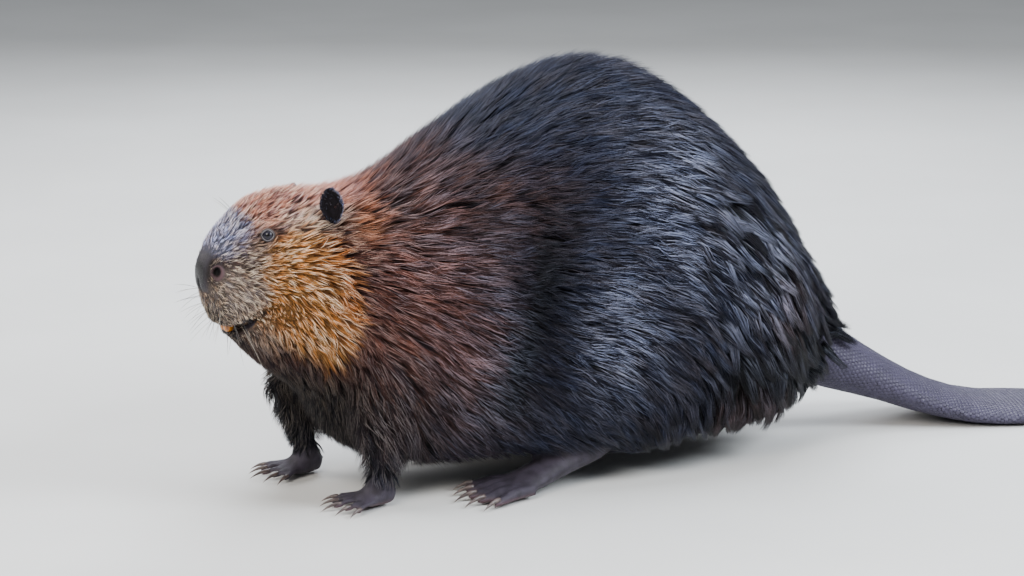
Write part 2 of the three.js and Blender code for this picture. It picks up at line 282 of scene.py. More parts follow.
# ---------------------------------------------------------------- the lie of the coat
# Strokes of a brush along the side: how far back, how high, and how many degrees below level the hair points.
BRUSH = [
    (-398, 236, -60), (-385, 252, -52), (-366, 268, -42), (-340, 284, -34), (-310, 290, -16), (-275, 290, -8),
    (-238, 298, -14), (-195, 322, -30), (-150, 350, -27), (-95, 372, -20), (-40, 388, -6), (10, 386, 10),
    (60, 366, 28), (105, 330, 40), (150, 285, 48), (190, 230, 46), (225, 180, 38), (258, 125, 24),
    (-384, 208, 24), (-376, 196, 42), (-368, 182, 66), (-358, 210, 6), (-350, 228, -16), (-335, 256, -32),
    (-300, 268, -34), (-320, 238, -8), (-322, 222, 12), (-318, 200, 34), (-328, 178, 48), (-325, 148, 60),
    (-350, 158, 78), (-296, 196, 38), (-285, 172, 52), (-300, 128, 76), (-280, 232, 2), (-265, 205, 16),
    (-262, 175, 42), (-240, 250, -4), (-235, 200, 16), (-235, 150, 42), (-245, 100, 66), (-180, 290, -14),
    (-175, 220, 4), (-175, 150, 30), (-180, 90, 42), (-110, 300, -14), (-115, 220, 4), (-115, 140, 22),
    (-110, 80, 36), (-60, 300, -8), (-50, 230, 2), (-45, 160, 14), (-50, 80, 36), (0, 320, 4), (10, 240, 14),
    (10, 170, 26), (15, 110, 46), (20, 60, 74), (60, 270, 28), (70, 200, 44), (75, 130, 60), (80, 70, 80),
    (130, 220, 50), (140, 150, 54), (140, 80, 64), (190, 160, 46), (200, 90, 44), (-262, 50, 84),
    (-250, 20, 88),
]
BRUSH_REACH = 13.0


def lie(p):
    """The direction of the hair at places on the animal, before it is laid on the skin."""
    strokes = np.array(BRUSH, float)
    away = ((p[:, None, 1:3] - strokes[None, :, :2]) ** 2).sum(2)
    weight = 1 / (away + BRUSH_REACH**2) ** 1.6
    angle = np.radians(strokes[:, 2])
    back, down = weight @ np.cos(angle) / weight.sum(1), weight @ np.sin(angle) / weight.sum(1)
    face = 1 - step(p[:, 1], -360, -300)
    stray = np.radians(5 + 9 * face) * wave(p, 34 - 14 * face[:, None], 0.4)
    back, down = back * np.cos(stray) - down * np.sin(stray), down * np.cos(stray) + back * np.sin(stray)
    return np.stack([p[:, 0] / 60 * (0.18 + 0.7 * face), back, -down], 1)


def depth(p):
    """How far the skin lies under the tips of the coat, in millimetres."""
    _, y, z = folded(p).T
    head = 1 - step(y, -360, -268)
    deep = 10.5 - 7.0 * head + 3.0 * blob(p, (50, -305, 150), (40, 40, 50)) * head
    deep = deep * (1 - 0.72 * (1 - step(y, -386, -350))) * (0.35 + 0.65 * step(z, 20, 90))
    return deep * (1 - bare(p)) + 0.4


def hair_length(p):
    """The length of the guard hairs, in millimetres."""
    _, y, z = folded(p).T
    face = 1 - step(y, -350, -205)
    rump = step(y, 0, 120)
    low = 1 - step(z, 30, 110)
    length = 37 - 26.5 * face + 14 * rump - 6 * low * (1 - rump) + 9 * blob(p, (45, -305, 142), (40, 30, 20))
    length -= 12 * step(y, 205, 245)
    length += 10 * blob(p, (69, -250, 85), (40, 50, 45)) * (1 - step(y, -215, -190))
    length -= 3.5 * (1 - step(y, -396, -366)) + 2.0 * blob(p, (0, -378, 250), (22, 22, 22))
    length *= 1 - 0.35 * (1 - step(z, 25, 90)) * (1 - step(y, -232, -205))
    length *= 0.3 + 0.7 * step(from_line(p, MOUTH_LINE)[0], 5, 17)
    return np.clip(length * (1 - 0.5 * step(bare(p), 0.05, 0.5)), 3.5, 60)


def wetness(p):
    """How far the hair gathers into broad pointed locks."""
    _, y, z = folded(p).T
    rump = step(y, -50, 90) * (1 - 0.6 * step(z, 250, 330))
    fringe = blob(p, (45, -305, 130), (40, 30, 24))
    return np.clip(rump + 0.4 * (1 - step(z, 50, 110)) * step(y, -200, 0) + 0.5 * fringe, 0, 1)


def hanging(p):
    """How freely the ends of the hair hang away from the skin below them."""
    _, y, z = folded(p).T
    skirt = step(y, 60, 150) * (1 - step(z, 150, 260))
    belly = 0.8 * (1 - step(z, 50, 95)) * step(y, -215, -180)
    return np.clip(np.maximum.reduce([skirt, belly, blob(p, (45, -305, 122), (40, 30, 20))]), 0, 1) * 0.7


def hairless(p):
    """True where no hair grows: naked skin, the eyes, the mouth, and the ground side of the feet."""
    eye = np.linalg.norm(folded(p) - EYE, axis=1) < 6.1
    ear = np.linalg.norm((folded(p) - (46, -285, 270)) / (9, 9, 12), axis=1) < 0.8
    return eye | ear | (bare(p) > 0.45) | (p[:, 2] < 6) | (from_line(p, MOUTH_LINE[:4])[0] < 6.6)


# ---------------------------------------------------------------- shader nodes
class Wire:
    """A value in a material's nodes. Sums on it add Math nodes."""

    def __init__(self, graph, socket):
        self.graph, self.socket = graph, socket

    def _math(self, operation, *values):
        node = self.graph.add("ShaderNodeMath", {"operation": operation}, dict(enumerate(values)))
        return Wire(self.graph, node.outputs[0])

    def __add__(self, other):
        return self._math("ADD", self, other)

    def __sub__(self, other):
        return self._math("SUBTRACT", self, other)

    def __rsub__(self, other):
        return self._math("SUBTRACT", other, self)

    def __mul__(self, other):
        return self._math("MULTIPLY", self, other)

    __radd__, __rmul__ = __add__, __mul__

    def ramp(self, low, high):
        """0 below low and 1 above high, smooth between."""
        node = self.graph.add("ShaderNodeMapRange", {"interpolation_type": "SMOOTHSTEP"},
                              {"Value": self, "From Min": low, "From Max": high})
        return Wire(self.graph, node.outputs["Result"])


class Finish:
    """A material and the nodes behind its principled shader."""

    def __init__(self, name, **constants):
        self.material = bpy.data.materials.new(name)
        self.material.use_nodes = True
        self.tree = self.material.node_tree
        self.shader = self.tree.nodes["Principled BSDF"]
        for socket, value in constants.items():
            self.shader.inputs[socket.replace("_", " ")].default_value = value

    def add(self, kind, settings=None, sockets=None):
        """Any node: its type, its settings, and the values or links of its sockets."""
        node = self.tree.nodes.new(kind)
        for key, value in (settings or {}).items():
            setattr(node, key, value)
        for key, value in (sockets or {}).items():
            self.plug(node.inputs[key], value)
        return node

    def plug(self, socket, value):
        if isinstance(value, Wire):
            self.tree.links.new(value.socket, socket)
        else:
            socket.default_value = value

    def set(self, socket, value):
        self.plug(self.shader.inputs[socket], value)

    def attribute(self, name):
        """A colour attribute whole, and its red, green, blue and alpha."""
        node = self.add("ShaderNodeAttribute", {"attribute_name": name})
        whole = Wire(self, node.outputs["Color"])
        split = self.add("ShaderNodeSeparateColor", {}, {0: whole})
        return whole, [Wire(self, output) for output in split.outputs] + [Wire(self, node.outputs["Alpha"])]

    def mix(self, share, first, second, blend="MIX"):
        sockets = {0: share, 6: first, 7: second}
        node = self.add("ShaderNodeMix", {"data_type": "RGBA", "blend_type": blend}, sockets)
        return Wire(self, node.outputs[2])

    def place(self, stretch=(1, 1, 1)):
        at = Wire(self, self.add("ShaderNodeTexCoord").outputs["Object"])
        return Wire(self, self.add("ShaderNodeMapping", {}, {"Vector": at, "Scale": stretch}).outputs[0])

    def noise(self, scale, detail=3.0, stretch=(1, 1, 1)):
        sockets = {"Vector": self.place(stretch), "Scale": scale, "Detail": detail}
        node = self.add("ShaderNodeTexNoise", {}, sockets)
        return Wire(self, node.outputs["Fac"])

    def cells(self, scale, feature="F1"):
        sockets = {"Vector": self.place(), "Scale": scale}
        node = self.add("ShaderNodeTexVoronoi", {"feature": feature}, sockets)
        return Wire(self, node.outputs["Distance"])

    def bump(self, height, distance, strength=1.0):
        node = self.add("ShaderNodeBump", {}, {"Height": height, "Distance": distance, "Strength": strength})
        self.set("Normal", Wire(self, node.outputs["Normal"]))


def colour(rgb):
    return (*rgb, 1.0)


BLACK = colour((0.006, 0.005, 0.006))
ROOT_SHADE = colour((0.22, 0.17, 0.17))  # what the tone is multiplied by at the roots, as painted shade deep in the coat
HAIR_DIM, HAIR_BRIGHT = colour((0.28, 0.28, 0.33)), colour((1.85, 1.75, 1.65))  # and from hair to hair
WOOL_SHADE = colour((0.1, 0.1, 0.1))  # and in the wool between them, as painted shade deep in the coat
EYE_WHITE = colour((0.03, 0.024, 0.026))
LID_SHADE, LID_EDGE = colour((0.02, 0.016, 0.016)), colour((0.11, 0.10, 0.11))
EAR_HIDE = colour((0.010, 0.008, 0.011))
TOOTH_STAIN = colour((0.24, 0.075, 0.012))
HORN_DARK, HORN_PALE, HORN_WORN = (colour(rgb) for rgb in (
    (0.045, 0.033, 0.034), (0.12, 0.088, 0.08), (0.26, 0.19, 0.16)))
WHISKER_ROOT, WHISKER_TIP, WHISKER_PALE = (colour(rgb) for rgb in (
    (0.018, 0.014, 0.013), (0.07, 0.055, 0.045), (0.42, 0.37, 0.31)))
PAPER_DARK, PAPER_PALE = colour((0.62, 0.615, 0.60)), colour((0.66, 0.655, 0.64))


def fur_finish(coat):
    finish = Finish("guard_hair", Specular_IOR_Level=0.22, Specular_Tint=colour((0.80, 0.88, 1.0)),
                    Coat_Roughness=0.25)
    tone, (_, _, _, gleam) = finish.attribute("tone")
    _, (along, chance, wet, straw) = finish.attribute("strand")
    # Painted shade: the hair darkens towards its roots, deep in the coat.
    rooted = finish.mix((1 - along).ramp(0.25, 0.95), tone, ROOT_SHADE, "MULTIPLY")
    shade = finish.mix(chance, HAIR_DIM, HAIR_BRIGHT)
    lit = finish.mix(1.0, rooted, shade, "MULTIPLY")
    # Painted highlight: where wet hair catches the sky, silver and the hair's own tone are added to its
    # colour.
    shine = gleam * chance.ramp(0.5, 1.0) * along.ramp(0.05, 0.45) * (1 - along.ramp(0.75, 1.1) * 0.7)
    warm = finish.mix(1.0, tone, colour((5, 5, 5)), "MULTIPLY")
    lit = finish.mix(shine, lit, finish.mix(1.0, warm, colour(coat.silver), "ADD"), "ADD")
    tip = along.ramp(0.1, 0.55) * chance.ramp(0.62, 0.92) * straw
    finish.set("Base Color", finish.mix(tip, lit, colour(coat.straw)))
    finish.set("Roughness", 0.46 - wet * 0.10 - shine * 0.1 + straw * 0.08)
    finish.set("Coat Weight", shine * 0.7)
    return finish.material


def skin_finish(coat):
    finish = Finish("skin_and_wool", Specular_IOR_Level=0.28)
    tone, channels = finish.attribute("tone")
    naked = channels[3]
    _, (tail, flush, moist, dark) = finish.attribute("parts")
    # Painted shade: under the hair the skin takes the coat's tone, darkened deep in the coat.
    wool = finish.mix(finish.noise(700.0).ramp(0.3, 0.7) * 0.3 + 0.7, tone, WOOL_SHADE, "MULTIPLY")
    mottle = finish.noise(110.0, 4).ramp(0.35, 0.7)
    hide = finish.mix(mottle, colour(coat.hide), finish.mix(0.5, colour(coat.hide), BLACK))
    hide = finish.mix(flush, hide, colour(coat.flush))
    scaly = finish.mix(mottle, colour(coat.tail), finish.mix(0.35, colour(coat.tail), BLACK))
    # Painted shade darkens the nostrils and the mouth; the nose pad is black of itself.
    hide = finish.mix(dark, finish.mix(tail, hide, scaly), BLACK)
    finish.set("Base Color", finish.mix(naked, wool, hide))
    finish.set("Roughness", 0.78 - naked * 0.28 - moist * 0.16 + finish.noise(200.0) * 0.12)
    creases = finish.cells(560.0, "DISTANCE_TO_EDGE").ramp(0.0, 0.12)
    finish.bump(creases * naked + finish.noise(900.0) * (1 - naked) * 2, 0.0005, 0.45)
    return finish.material


def scale_finish(coat):
    finish = Finish("tail_scale", Specular_IOR_Level=0.35)
    _, (edge, chance, _, _) = finish.attribute("plate")
    worn = finish.noise(46.0, 4).ramp(0.3, 0.75)
    hide = colour(coat.tail)
    plate = finish.mix(worn * 0.5 + chance * 0.4, hide, finish.mix(0.45, hide, BLACK))
    finish.set("Base Color", finish.mix(edge.ramp(0.4, 1.0) * 0.6, plate, BLACK))
    finish.set("Roughness", 0.36 + chance * 0.16 + finish.noise(300.0) * 0.1)
    finish.bump(finish.noise(1500.0), 0.0002, 0.3)
    return finish.material


def eye_finish(coat):
    finish = Finish("eye_ball", Roughness=0.05, Specular_IOR_Level=0.28)
    _, (iris, rim, _, _) = finish.attribute("parts")
    fibres = finish.noise(1600.0, 5).ramp(0.3, 0.7)
    ring = finish.mix(fibres, colour(coat.iris), finish.mix(0.4, colour(coat.iris), BLACK))
    finish.set("Base Color", finish.mix(rim, finish.mix(iris, BLACK, ring), EYE_WHITE))
    return finish.material


def lid_finish(coat):
    finish = Finish("eyelid", Specular_IOR_Level=0.5)
    _, (edge, _, _, _) = finish.attribute("parts")
    hide = finish.mix(finish.noise(500.0).ramp(0.3, 0.7), colour(coat.lip), LID_SHADE)
    finish.set("Base Color", finish.mix(edge, hide, LID_EDGE))
    finish.set("Roughness", 0.5 - edge * 0.1)
    finish.bump(finish.noise(1300.0), 0.0003, 0.5)
    return finish.material


def ear_finish():
    finish = Finish("ear_leather", Specular_IOR_Level=0.12)
    grain = finish.noise(420.0, 4).ramp(0.3, 0.7)
    finish.set("Base Color", finish.mix(grain, BLACK, EAR_HIDE))
    finish.set("Roughness", 0.8 + finish.noise(160.0) * 0.15)
    finish.bump(finish.noise(1200.0), 0.0005, 0.6)
    return finish.material


def enamel_finish(coat):
    finish = Finish("tooth_enamel", Specular_IOR_Level=0.6)
    streaks = finish.noise(160.0, 4, (6, 1, 0.6)).ramp(0.3, 0.75)
    finish.set("Base Color", finish.mix(streaks, colour(coat.enamel), TOOTH_STAIN))
    finish.set("Roughness", 0.2 + finish.noise(300.0) * 0.15)
    finish.bump(streaks, 0.0003, 0.4)
    return finish.material


def horn_finish():
    finish = Finish("claw_horn", Specular_IOR_Level=0.55)
    _, (along, _, _, _) = finish.attribute("parts")
    grain = finish.noise(260.0, 4, (5, 0.8, 1.5)).ramp(0.3, 0.7)
    horn = finish.mix(grain, HORN_DARK, HORN_PALE)
    finish.set("Base Color", finish.mix(along.ramp(0.55, 1.0) * 0.6, horn, HORN_WORN))
    finish.set("Roughness", 0.32 + grain * 0.14)
    finish.bump(grain, 0.0003, 0.4)
    return finish.material


def whisker_finish():
    finish = Finish("whisker", Specular_IOR_Level=0.6, Roughness=0.3)
    _, (along, chance, _, _) = finish.attribute("strand")
    dark = finish.mix(along, WHISKER_ROOT, WHISKER_TIP)
    finish.set("Base Color", finish.mix(chance.ramp(0.78, 0.82), dark, WHISKER_PALE))
    return finish.material


# ---------------------------------------------------------------- making pieces
def placed(name, data):
    """A new object in the scene."""
    made = bpy.data.objects.new(name, data)
    bpy.context.scene.collection.objects.link(made)
    return made


def piece(name, mesh, finish, replaces=()):
    """Puts a mesh in the scene as a piece that rides with the body."""
    made = placed(name, mesh)
    mesh.materials.clear()
    mesh.materials.append(finish)
    mesh.shade_smooth()
    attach(made, "root")
    if replaces:
        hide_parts(*replaces)
    return made


def mesh_from(shape, name):
    mesh = bpy.data.meshes.new(name)
    shape.to_mesh(mesh)
    shape.free()
    return mesh


def wrapped(shape, around, along, place):
    """Bends a grid round into a closed surface. place gives a point for shares of the way round and along."""
    made = bmesh.ops.create_grid(shape, x_segments=around, y_segments=along, size=0.5)["verts"]
    for vert in made:
        vert.co = place(vert.co.x + 0.5, vert.co.y + 0.5)
    bmesh.ops.remove_doubles(shape, verts=made, dist=1e-6)
    bmesh.ops.recalc_face_normals(shape, faces=shape.faces)


def between(profile, share):
    """A point on a list of points, at a share of the way through it."""
    at = share * (len(profile) - 1)
    low = min(int(at), len(profile) - 2)
    return [a + (b - a) * (at - low) for a, b in zip(profile[low], profile[low + 1])]


def rows_of(items, name, width, kind):
    """One property of each of a mesh's items, a row to an item."""
    values = np.empty(len(items) * width, kind)
    items.foreach_get(name, values)
    return values.reshape(-1, width)


def places(mesh):
    """Vertex positions of a mesh."""
    return rows_of(mesh.vertices, "co", 3, np.float32).astype(float)


def move(mesh, points):
    mesh.vertices.foreach_set("co", np.asarray(points, np.float32).ravel())
    mesh.update()


def facing(mesh):
    """Vertex normals of a mesh."""
    return rows_of(mesh.vertex_normals, "vector", 3, np.float32).astype(float)


def edges_of(mesh):
    """The two vertices of each edge of a mesh."""
    return rows_of(mesh.edges, "vertices", 2, np.int32)


def tint(mesh, name, values):
    """Stores four shares at each vertex."""
    layer = mesh.attributes.get(name) or mesh.attributes.new(name, "FLOAT_COLOR", "POINT")
    layer.data.foreach_set("color", np.asarray(values, np.float32).ravel())


def shares(count, *channels):
    """Up to four shares for each of count points."""
    made = np.zeros((count, 4))
    for i, value in enumerate(channels):
        made[:, i] = value
    return made


# ---------------------------------------------------------------- skin
FLESH = ["head", "neck", "trunk", "tail", "foreleg_left", "foreleg_right", "hindleg_left", "hindleg_right"]
PART_GAP = 0.7  # a little more than the space between the solid parts
MOUTH_FILL = ((0, -361, 170), (24, 11, 7.5))  # middle and reach of the plug in the solid mouth
VOXEL = 3.45 * MM


def flesh_mesh():
    """The solid parts of the flesh as one closed surface, swollen to meet, with the mouth filled."""
    shape = bmesh.new()
    for node in FLESH:
        part = bmesh.new()
        part.from_mesh(frame["nodes"][node].data)
        bmesh.ops.remove_doubles(part, verts=part.verts, dist=1e-5)
        part.normal_update()
        for vert in part.verts:
            vert.co += vert.normal * PART_GAP * MM
        loose = mesh_from(part, "part")
        shape.from_mesh(loose)
        bpy.data.meshes.remove(loose)
    place, turn = Matrix.Translation(spot(*MOUTH_FILL[0])), Matrix.Rotation(math.radians(20), 4, "X")
    fill = place @ turn @ Matrix.Diagonal((*MOUTH_FILL[1], 1))
    bmesh.ops.create_icosphere(shape, subdivisions=3, radius=MM, matrix=fill)
    whole = placed("whole", mesh_from(shape, "whole"))
    remesh = whole.modifiers.new("remesh", "REMESH")
    remesh.mode, remesh.voxel_size, remesh.adaptivity = "VOXEL", VOXEL, 0.0
    bpy.context.view_layer.update()
    mesh = bpy.data.meshes.new_from_object(whole.evaluated_get(bpy.context.evaluated_depsgraph_get()))
    bpy.data.objects.remove(whole)
    return mesh


def relaxed(points, edges, amount, rounds):
    """Moves each vertex towards the middle of its neighbours, by its own amount."""
    count = np.bincount(edges.ravel(), minlength=len(points))[:, None]
    first, second = edges.T
    for _ in range(rounds):
        total = np.stack([np.bincount(first, points[second, axis], len(points))
                          + np.bincount(second, points[first, axis], len(points)) for axis in range(3)], 1)
        points = points + (total / count - points) * amount[:, None]
    return points


def refine(mesh, wanted):
    """Divides the faces whose middles are wanted."""
    shape = bmesh.new()
    shape.from_mesh(mesh)
    shape.faces.ensure_lookup_table()
    middles = own([face.calc_center_median() for face in shape.faces])
    edges = {edge for i in np.nonzero(wanted(middles))[0] for edge in shape.faces[i].edges}
    bmesh.ops.subdivide_edges(shape, edges=list(edges), cuts=1, use_grid_fill=True)
    shape.to_mesh(mesh)
    shape.free()


def near_face(p):
    """True on the muzzle and round the eyes."""
    muzzle = (p[:, 1] < -362) & (p[:, 2] > 146)
    return muzzle | (blob(p, EYE, (15, 15, 15)) > 0.36) | (from_line(p, MOUTH_LINE)[0] < 10)


def near_features(p):
    """True close to the eyes, the nose and the lips."""
    nose = (blob(p, NOSTRIL, (12, 12, 12)) > 0.36) | ((p[:, 1] < -388) & (np.abs(p[:, 0]) < 6))
    return nose | (blob(p, EYE, (11, 11, 11)) > 0.36) | (from_line(p, MOUTH_LINE)[0] < 7.5)


def sculpted(p):
    """Eye hollows, nose and lips, cut into a smooth head."""
    # hollow for the eye, and the brow over it
    q = p.copy()
    offset = q - on_both(np.tile(EYE, (len(q), 1)), q)
    out = on_both(np.tile(EYE_OUT, (len(q), 1)), q)
    level = (offset * out).sum(1)
    disc = np.linalg.norm(offset - out * level[:, None], axis=1)
    hollow = (1 - step(disc, 4.6, 8.0)) * (level > -5) * (np.linalg.norm(offset, axis=1) < 16)
    q += out * ((0.2 - level) * hollow)[:, None]
    q += out * (1.3 * blob(q, (37, -346, 262), (9, 12, 4.5)))[:, None]

    # nostril, its wing, the crease behind it, and the cleft below the nose
    pit = np.exp(-(((folded(q) - NOSTRIL) / (3.2, 4.8, 4.2)) ** 2).sum(1) ** 1.5)
    wing = blob(q, NOSTRIL, (7.5, 8.0, 7.5))
    q += on_both(np.tile((0.80, -0.58, 0.05), (len(q), 1)), q) * (wing * 1.8)[:, None]
    q += on_both(np.tile((-0.86, 0.45, 0.2), (len(q), 1)), q) * (pit * 8.0)[:, None]
    away, _ = from_line(q, NOSE_CREASE)
    q += on_both(np.tile((-0.5, 0.75, -0.3), (len(q), 1)), q) * (1.8 * np.exp(-((away / 1.7) ** 2)))[:, None]
    x, y, z = q.T
    cleft = np.exp(-((x / 1.6) ** 2)) * step(z, 172, 180) * (1 - step(z, 205, 214))
    q[:, 1] += 2.6 * (cleft * (1 - step(y, -389, -378)))

    # mouth, and the lips that roll out round it
    away, where = from_line(q, MOUTH_LINE)
    half, deep = (np.interp(where, range(len(MOUTH_LINE)), values) for values in (MOUTH_HALF, MOUTH_DEPTH))
    mouth = 1 - step(away, 0.45 * half, 1.15 * half + 0.4)
    lips = np.exp(-(((away - half - 2.6) / 1.9) ** 2)) * (1 - step(where, 3.5, 5.5))
    inward = unit(np.stack([-np.clip(np.abs(x) / 30, 0, 1), np.full(len(q), 0.75), np.full(len(q), 0.22)], 1))
    q += on_both(inward, q) * (deep * mouth - 1.5 * lips)[:, None]
    return q


def muscled(p, normals):
    """The hollows before the thigh and behind the elbow, and the swell of the haunch."""
    elbow = blob(p, (92, -205, 92), (26, 22, 34))
    haunch = blob(p, (128, -20, 185), (60, 50, 70))
    return p + normals * (2.0 * haunch - 13.0 * valley(p) - 6.0 * elbow)[:, None]


def skin_parts(p):
    """Shares of tail, flushed skin, moist skin and darkness at places on the skin before it is sculpted."""
    away, where = from_line(p, MOUTH_LINE)
    inside = (1 - step(away, 1.0, np.interp(where, range(len(MOUTH_LINE)), MOUTH_HALF) + 1.6)) * (where < 5)
    pit = np.exp(-(((folded(p) - NOSTRIL) / (3.6, 4.6, 4.2)) ** 2).sum(1) ** 1.5)
    wing = blob(p, NOSTRIL, (8, 8, 8)) * (np.abs(p[:, 0]) > 16)
    toes = (1 - step(p[:, 2], 1, 9)) * step(np.abs(p[:, 0]), 55, 60) * (p[:, 1] < -120) * 0.6
    moist = blob(p, (0, -397, 217), (17, 14, 20)) * 1.4 + inside
    # Painted shade in the nostril pits and inside the mouth, and the nose pad's own black.
    dark = pit * 1.6 + inside * 0.85 + blob(p, (0, -400, 216), (19, 13, 20)) * 1.3
    tail = step(p[:, 1], 165, 180)
    return np.clip(shares(len(p), tail, wing * 0.9 + toes, moist, dark), 0, 1)


def build_skin(coat):
    mesh = flesh_mesh()
    p = own(places(mesh))
    torso = step(p[:, 1], -345, -290) * step(p[:, 2], 35, 75) * (1 - step(p[:, 1], 235, 265))
    p = relaxed(p, edges_of(mesh), 0.25 + 0.35 * torso, 4)
    p = relaxed(p, edges_of(mesh), 0.6 * torso, 16)
    move(mesh, framed(p))
    p = p - facing(mesh) * (depth(p) + PART_GAP)[:, None]
    move(mesh, framed(p))
    p = muscled(p, facing(mesh))
    p = relaxed(p, edges_of(mesh), 0.5 * torso, 3)
    p[:, 2] = np.maximum(p[:, 2], 0.02)
    move(mesh, framed(p))
    refine(mesh, near_face)
    refine(mesh, near_features)
    p = own(places(mesh))
    p = relaxed(p, edges_of(mesh), 0.5 * (1 - step(p[:, 1], -330, -300)), 3)
    move(mesh, framed(sculpted(p)))
    tint(mesh, "tone", np.concatenate([tones(p, coat), bare(p)[:, None]], 1))
    tint(mesh, "parts", skin_parts(p))
    return piece("skin", mesh, skin_finish(coat), FLESH)


# ---------------------------------------------------------------- coat
PATCH = 0.003  # width of one tuft's patch on the bake map
WALK = 4  # strides in which a guide hair is laid along the skin


def unpacked(shape):
    """The vertices of a shape as an array, and the vertices of each of its faces."""
    bmesh.ops.recalc_face_normals(shape, faces=shape.faces)
    shape.verts.index_update()
    points = np.array([vert.co for vert in shape.verts])
    faces = [[vert.index for vert in face.verts] for face in shape.faces]
    shape.free()
    return points, faces


def strand_shape(segments):
    """One hair: a closed three-sided spike from 0 to 1 along z."""
    shape = bmesh.new()
    bmesh.ops.create_cone(shape, segments=3, radius1=1, radius2=0, depth=1, cap_ends=True)
    bmesh.ops.translate(shape, verts=shape.verts, vec=(0, 0, 0.5))
    for k in range(1, segments):
        whole = list(shape.verts) + list(shape.edges) + list(shape.faces)
        bmesh.ops.bisect_plane(shape, geom=whole, plane_co=(0, 0, k / segments), plane_no=(0, 0, 1))
    bmesh.ops.remove_doubles(shape, verts=shape.verts, dist=1e-4)
    return unpacked(shape)


def joined(name, points, faces, uv, attributes):
    """One mesh of many copies of a shape, from the vertices of each copy and their places on the bake map."""
    count, size = points.shape[:2]
    corners = np.concatenate([np.array(face) for face in faces])
    loops = (corners[None, :] + np.arange(count)[:, None] * size).ravel()
    totals = np.tile([len(face) for face in faces], count)
    mesh = bpy.data.meshes.new(name)
    mesh.vertices.add(count * size)
    mesh.loops.add(len(loops))
    mesh.polygons.add(len(totals))
    mesh.vertices.foreach_set("co", points.astype(np.float32).ravel())
    mesh.loops.foreach_set("vertex_index", loops.astype(np.int32))
    mesh.polygons.foreach_set("loop_start", np.concatenate([[0], np.cumsum(totals)[:-1]]).astype(np.int32))
    mesh.update(calc_edges=True)
    for key, values in attributes.items():
        tint(mesh, key, np.broadcast_to(values, (count, size, 4)))
    layer = mesh.uv_layers.new(name="OFBake")
    layer.uv.foreach_set("vector", uv.reshape(-1, 2)[loops].astype(np.float32).ravel())
    return mesh


def girth(along):
    """Half the width of a hair as a share of its widest, from root to tip."""
    return np.maximum(0.02, (0.55 + 1.5 * along) * (1 - along**1.6) * 0.86 + 0.03 * (1 - along))


class Pelt:
    """A skin to grow hair on: random roots, and paths laid along its surface."""

    def __init__(self, mesh, seed):
        self.random = np.random.default_rng(seed)
        mesh.calc_loop_triangles()
        index = rows_of(mesh.loop_triangles, "vertices", 3, np.int32)
        self.corners = places(mesh)[index]
        self.tree = BVHTree.FromPolygons(places(mesh).tolist(), index.tolist())
        cross = np.cross(self.corners[:, 1] - self.corners[:, 0], self.corners[:, 2] - self.corners[:, 0])
        self.area = np.linalg.norm(cross, axis=1) / 2 / MM**2
        self.normal = unit(cross)

    def roots(self, room):
        """Random roots. room gives the square millimetres for each at given places, or infinity for none."""
        wanted = self.area / room(own(self.corners.mean(1)), self.normal)
        count = np.floor(wanted + self.random.random(len(wanted))).astype(int)
        chosen = np.repeat(np.arange(len(wanted)), count)
        u, v = self.random.random((2, len(chosen)))
        over = u + v > 1
        u[over], v[over] = 1 - u[over], 1 - v[over]
        a, b, c = self.corners[chosen].transpose(1, 0, 2)
        return a + (b - a) * u[:, None] + (c - a) * v[:, None], self.normal[chosen]

    def snapped(self, points):
        """The nearest points of the skin and its normals there."""
        found = [self.tree.find_nearest(point)[:2] for point in points]
        return np.array([f[0] for f in found]), np.array([f[1] for f in found])

    def laid(self, roots, normals, length, hang, stray, flow):
        """Paths over the skin from roots, and the way up at each stride. hang lets the end fall free, and
        stray holds the angles by which each path leaves the flow and curls at each stride."""
        paths, upright = [roots], [normals]
        for stride in range(WALK):
            way = flow(own(paths[-1]))
            way = unit(way - upright[-1] * (way * upright[-1]).sum(1)[:, None])
            angle = (stray[:, 0] + stray[:, 1] * stride)[:, None]
            way = way * np.cos(angle) + np.cross(upright[-1], way) * np.sin(angle)
            free = paths[-1] + way * (length / WALK)[:, None]
            found, normal = self.snapped(free)
            paths.append(found + (free - found) * hang[:, None])
            upright.append(unit(normal + (upright[-1] - normal) * (0.35 + 0.6 * hang)[:, None]))
        return np.stack(paths, 1), np.stack(upright, 1)


def sampled(values, levels):
    """Values kept at the walk's strides, at other shares of the way."""
    at = np.asarray(levels) * (values.shape[1] - 1)
    low = np.minimum(at.astype(int), values.shape[1] - 2)
    return values[:, low] + (values[:, low + 1] - values[:, low]) * (at - low)[None, :, None]


def leaders(roots, chosen):
    """For each root, the nearest of the chosen ones."""
    leads = np.nonzero(chosen)[0]
    tree = KDTree(len(leads))
    for i, lead in enumerate(leads):
        tree.insert(roots[lead], i)
    tree.balance()
    return leads[[tree.find(root)[1] for root in roots]]


HEAD_LINE = -268.0  # how far back the short hair reaches


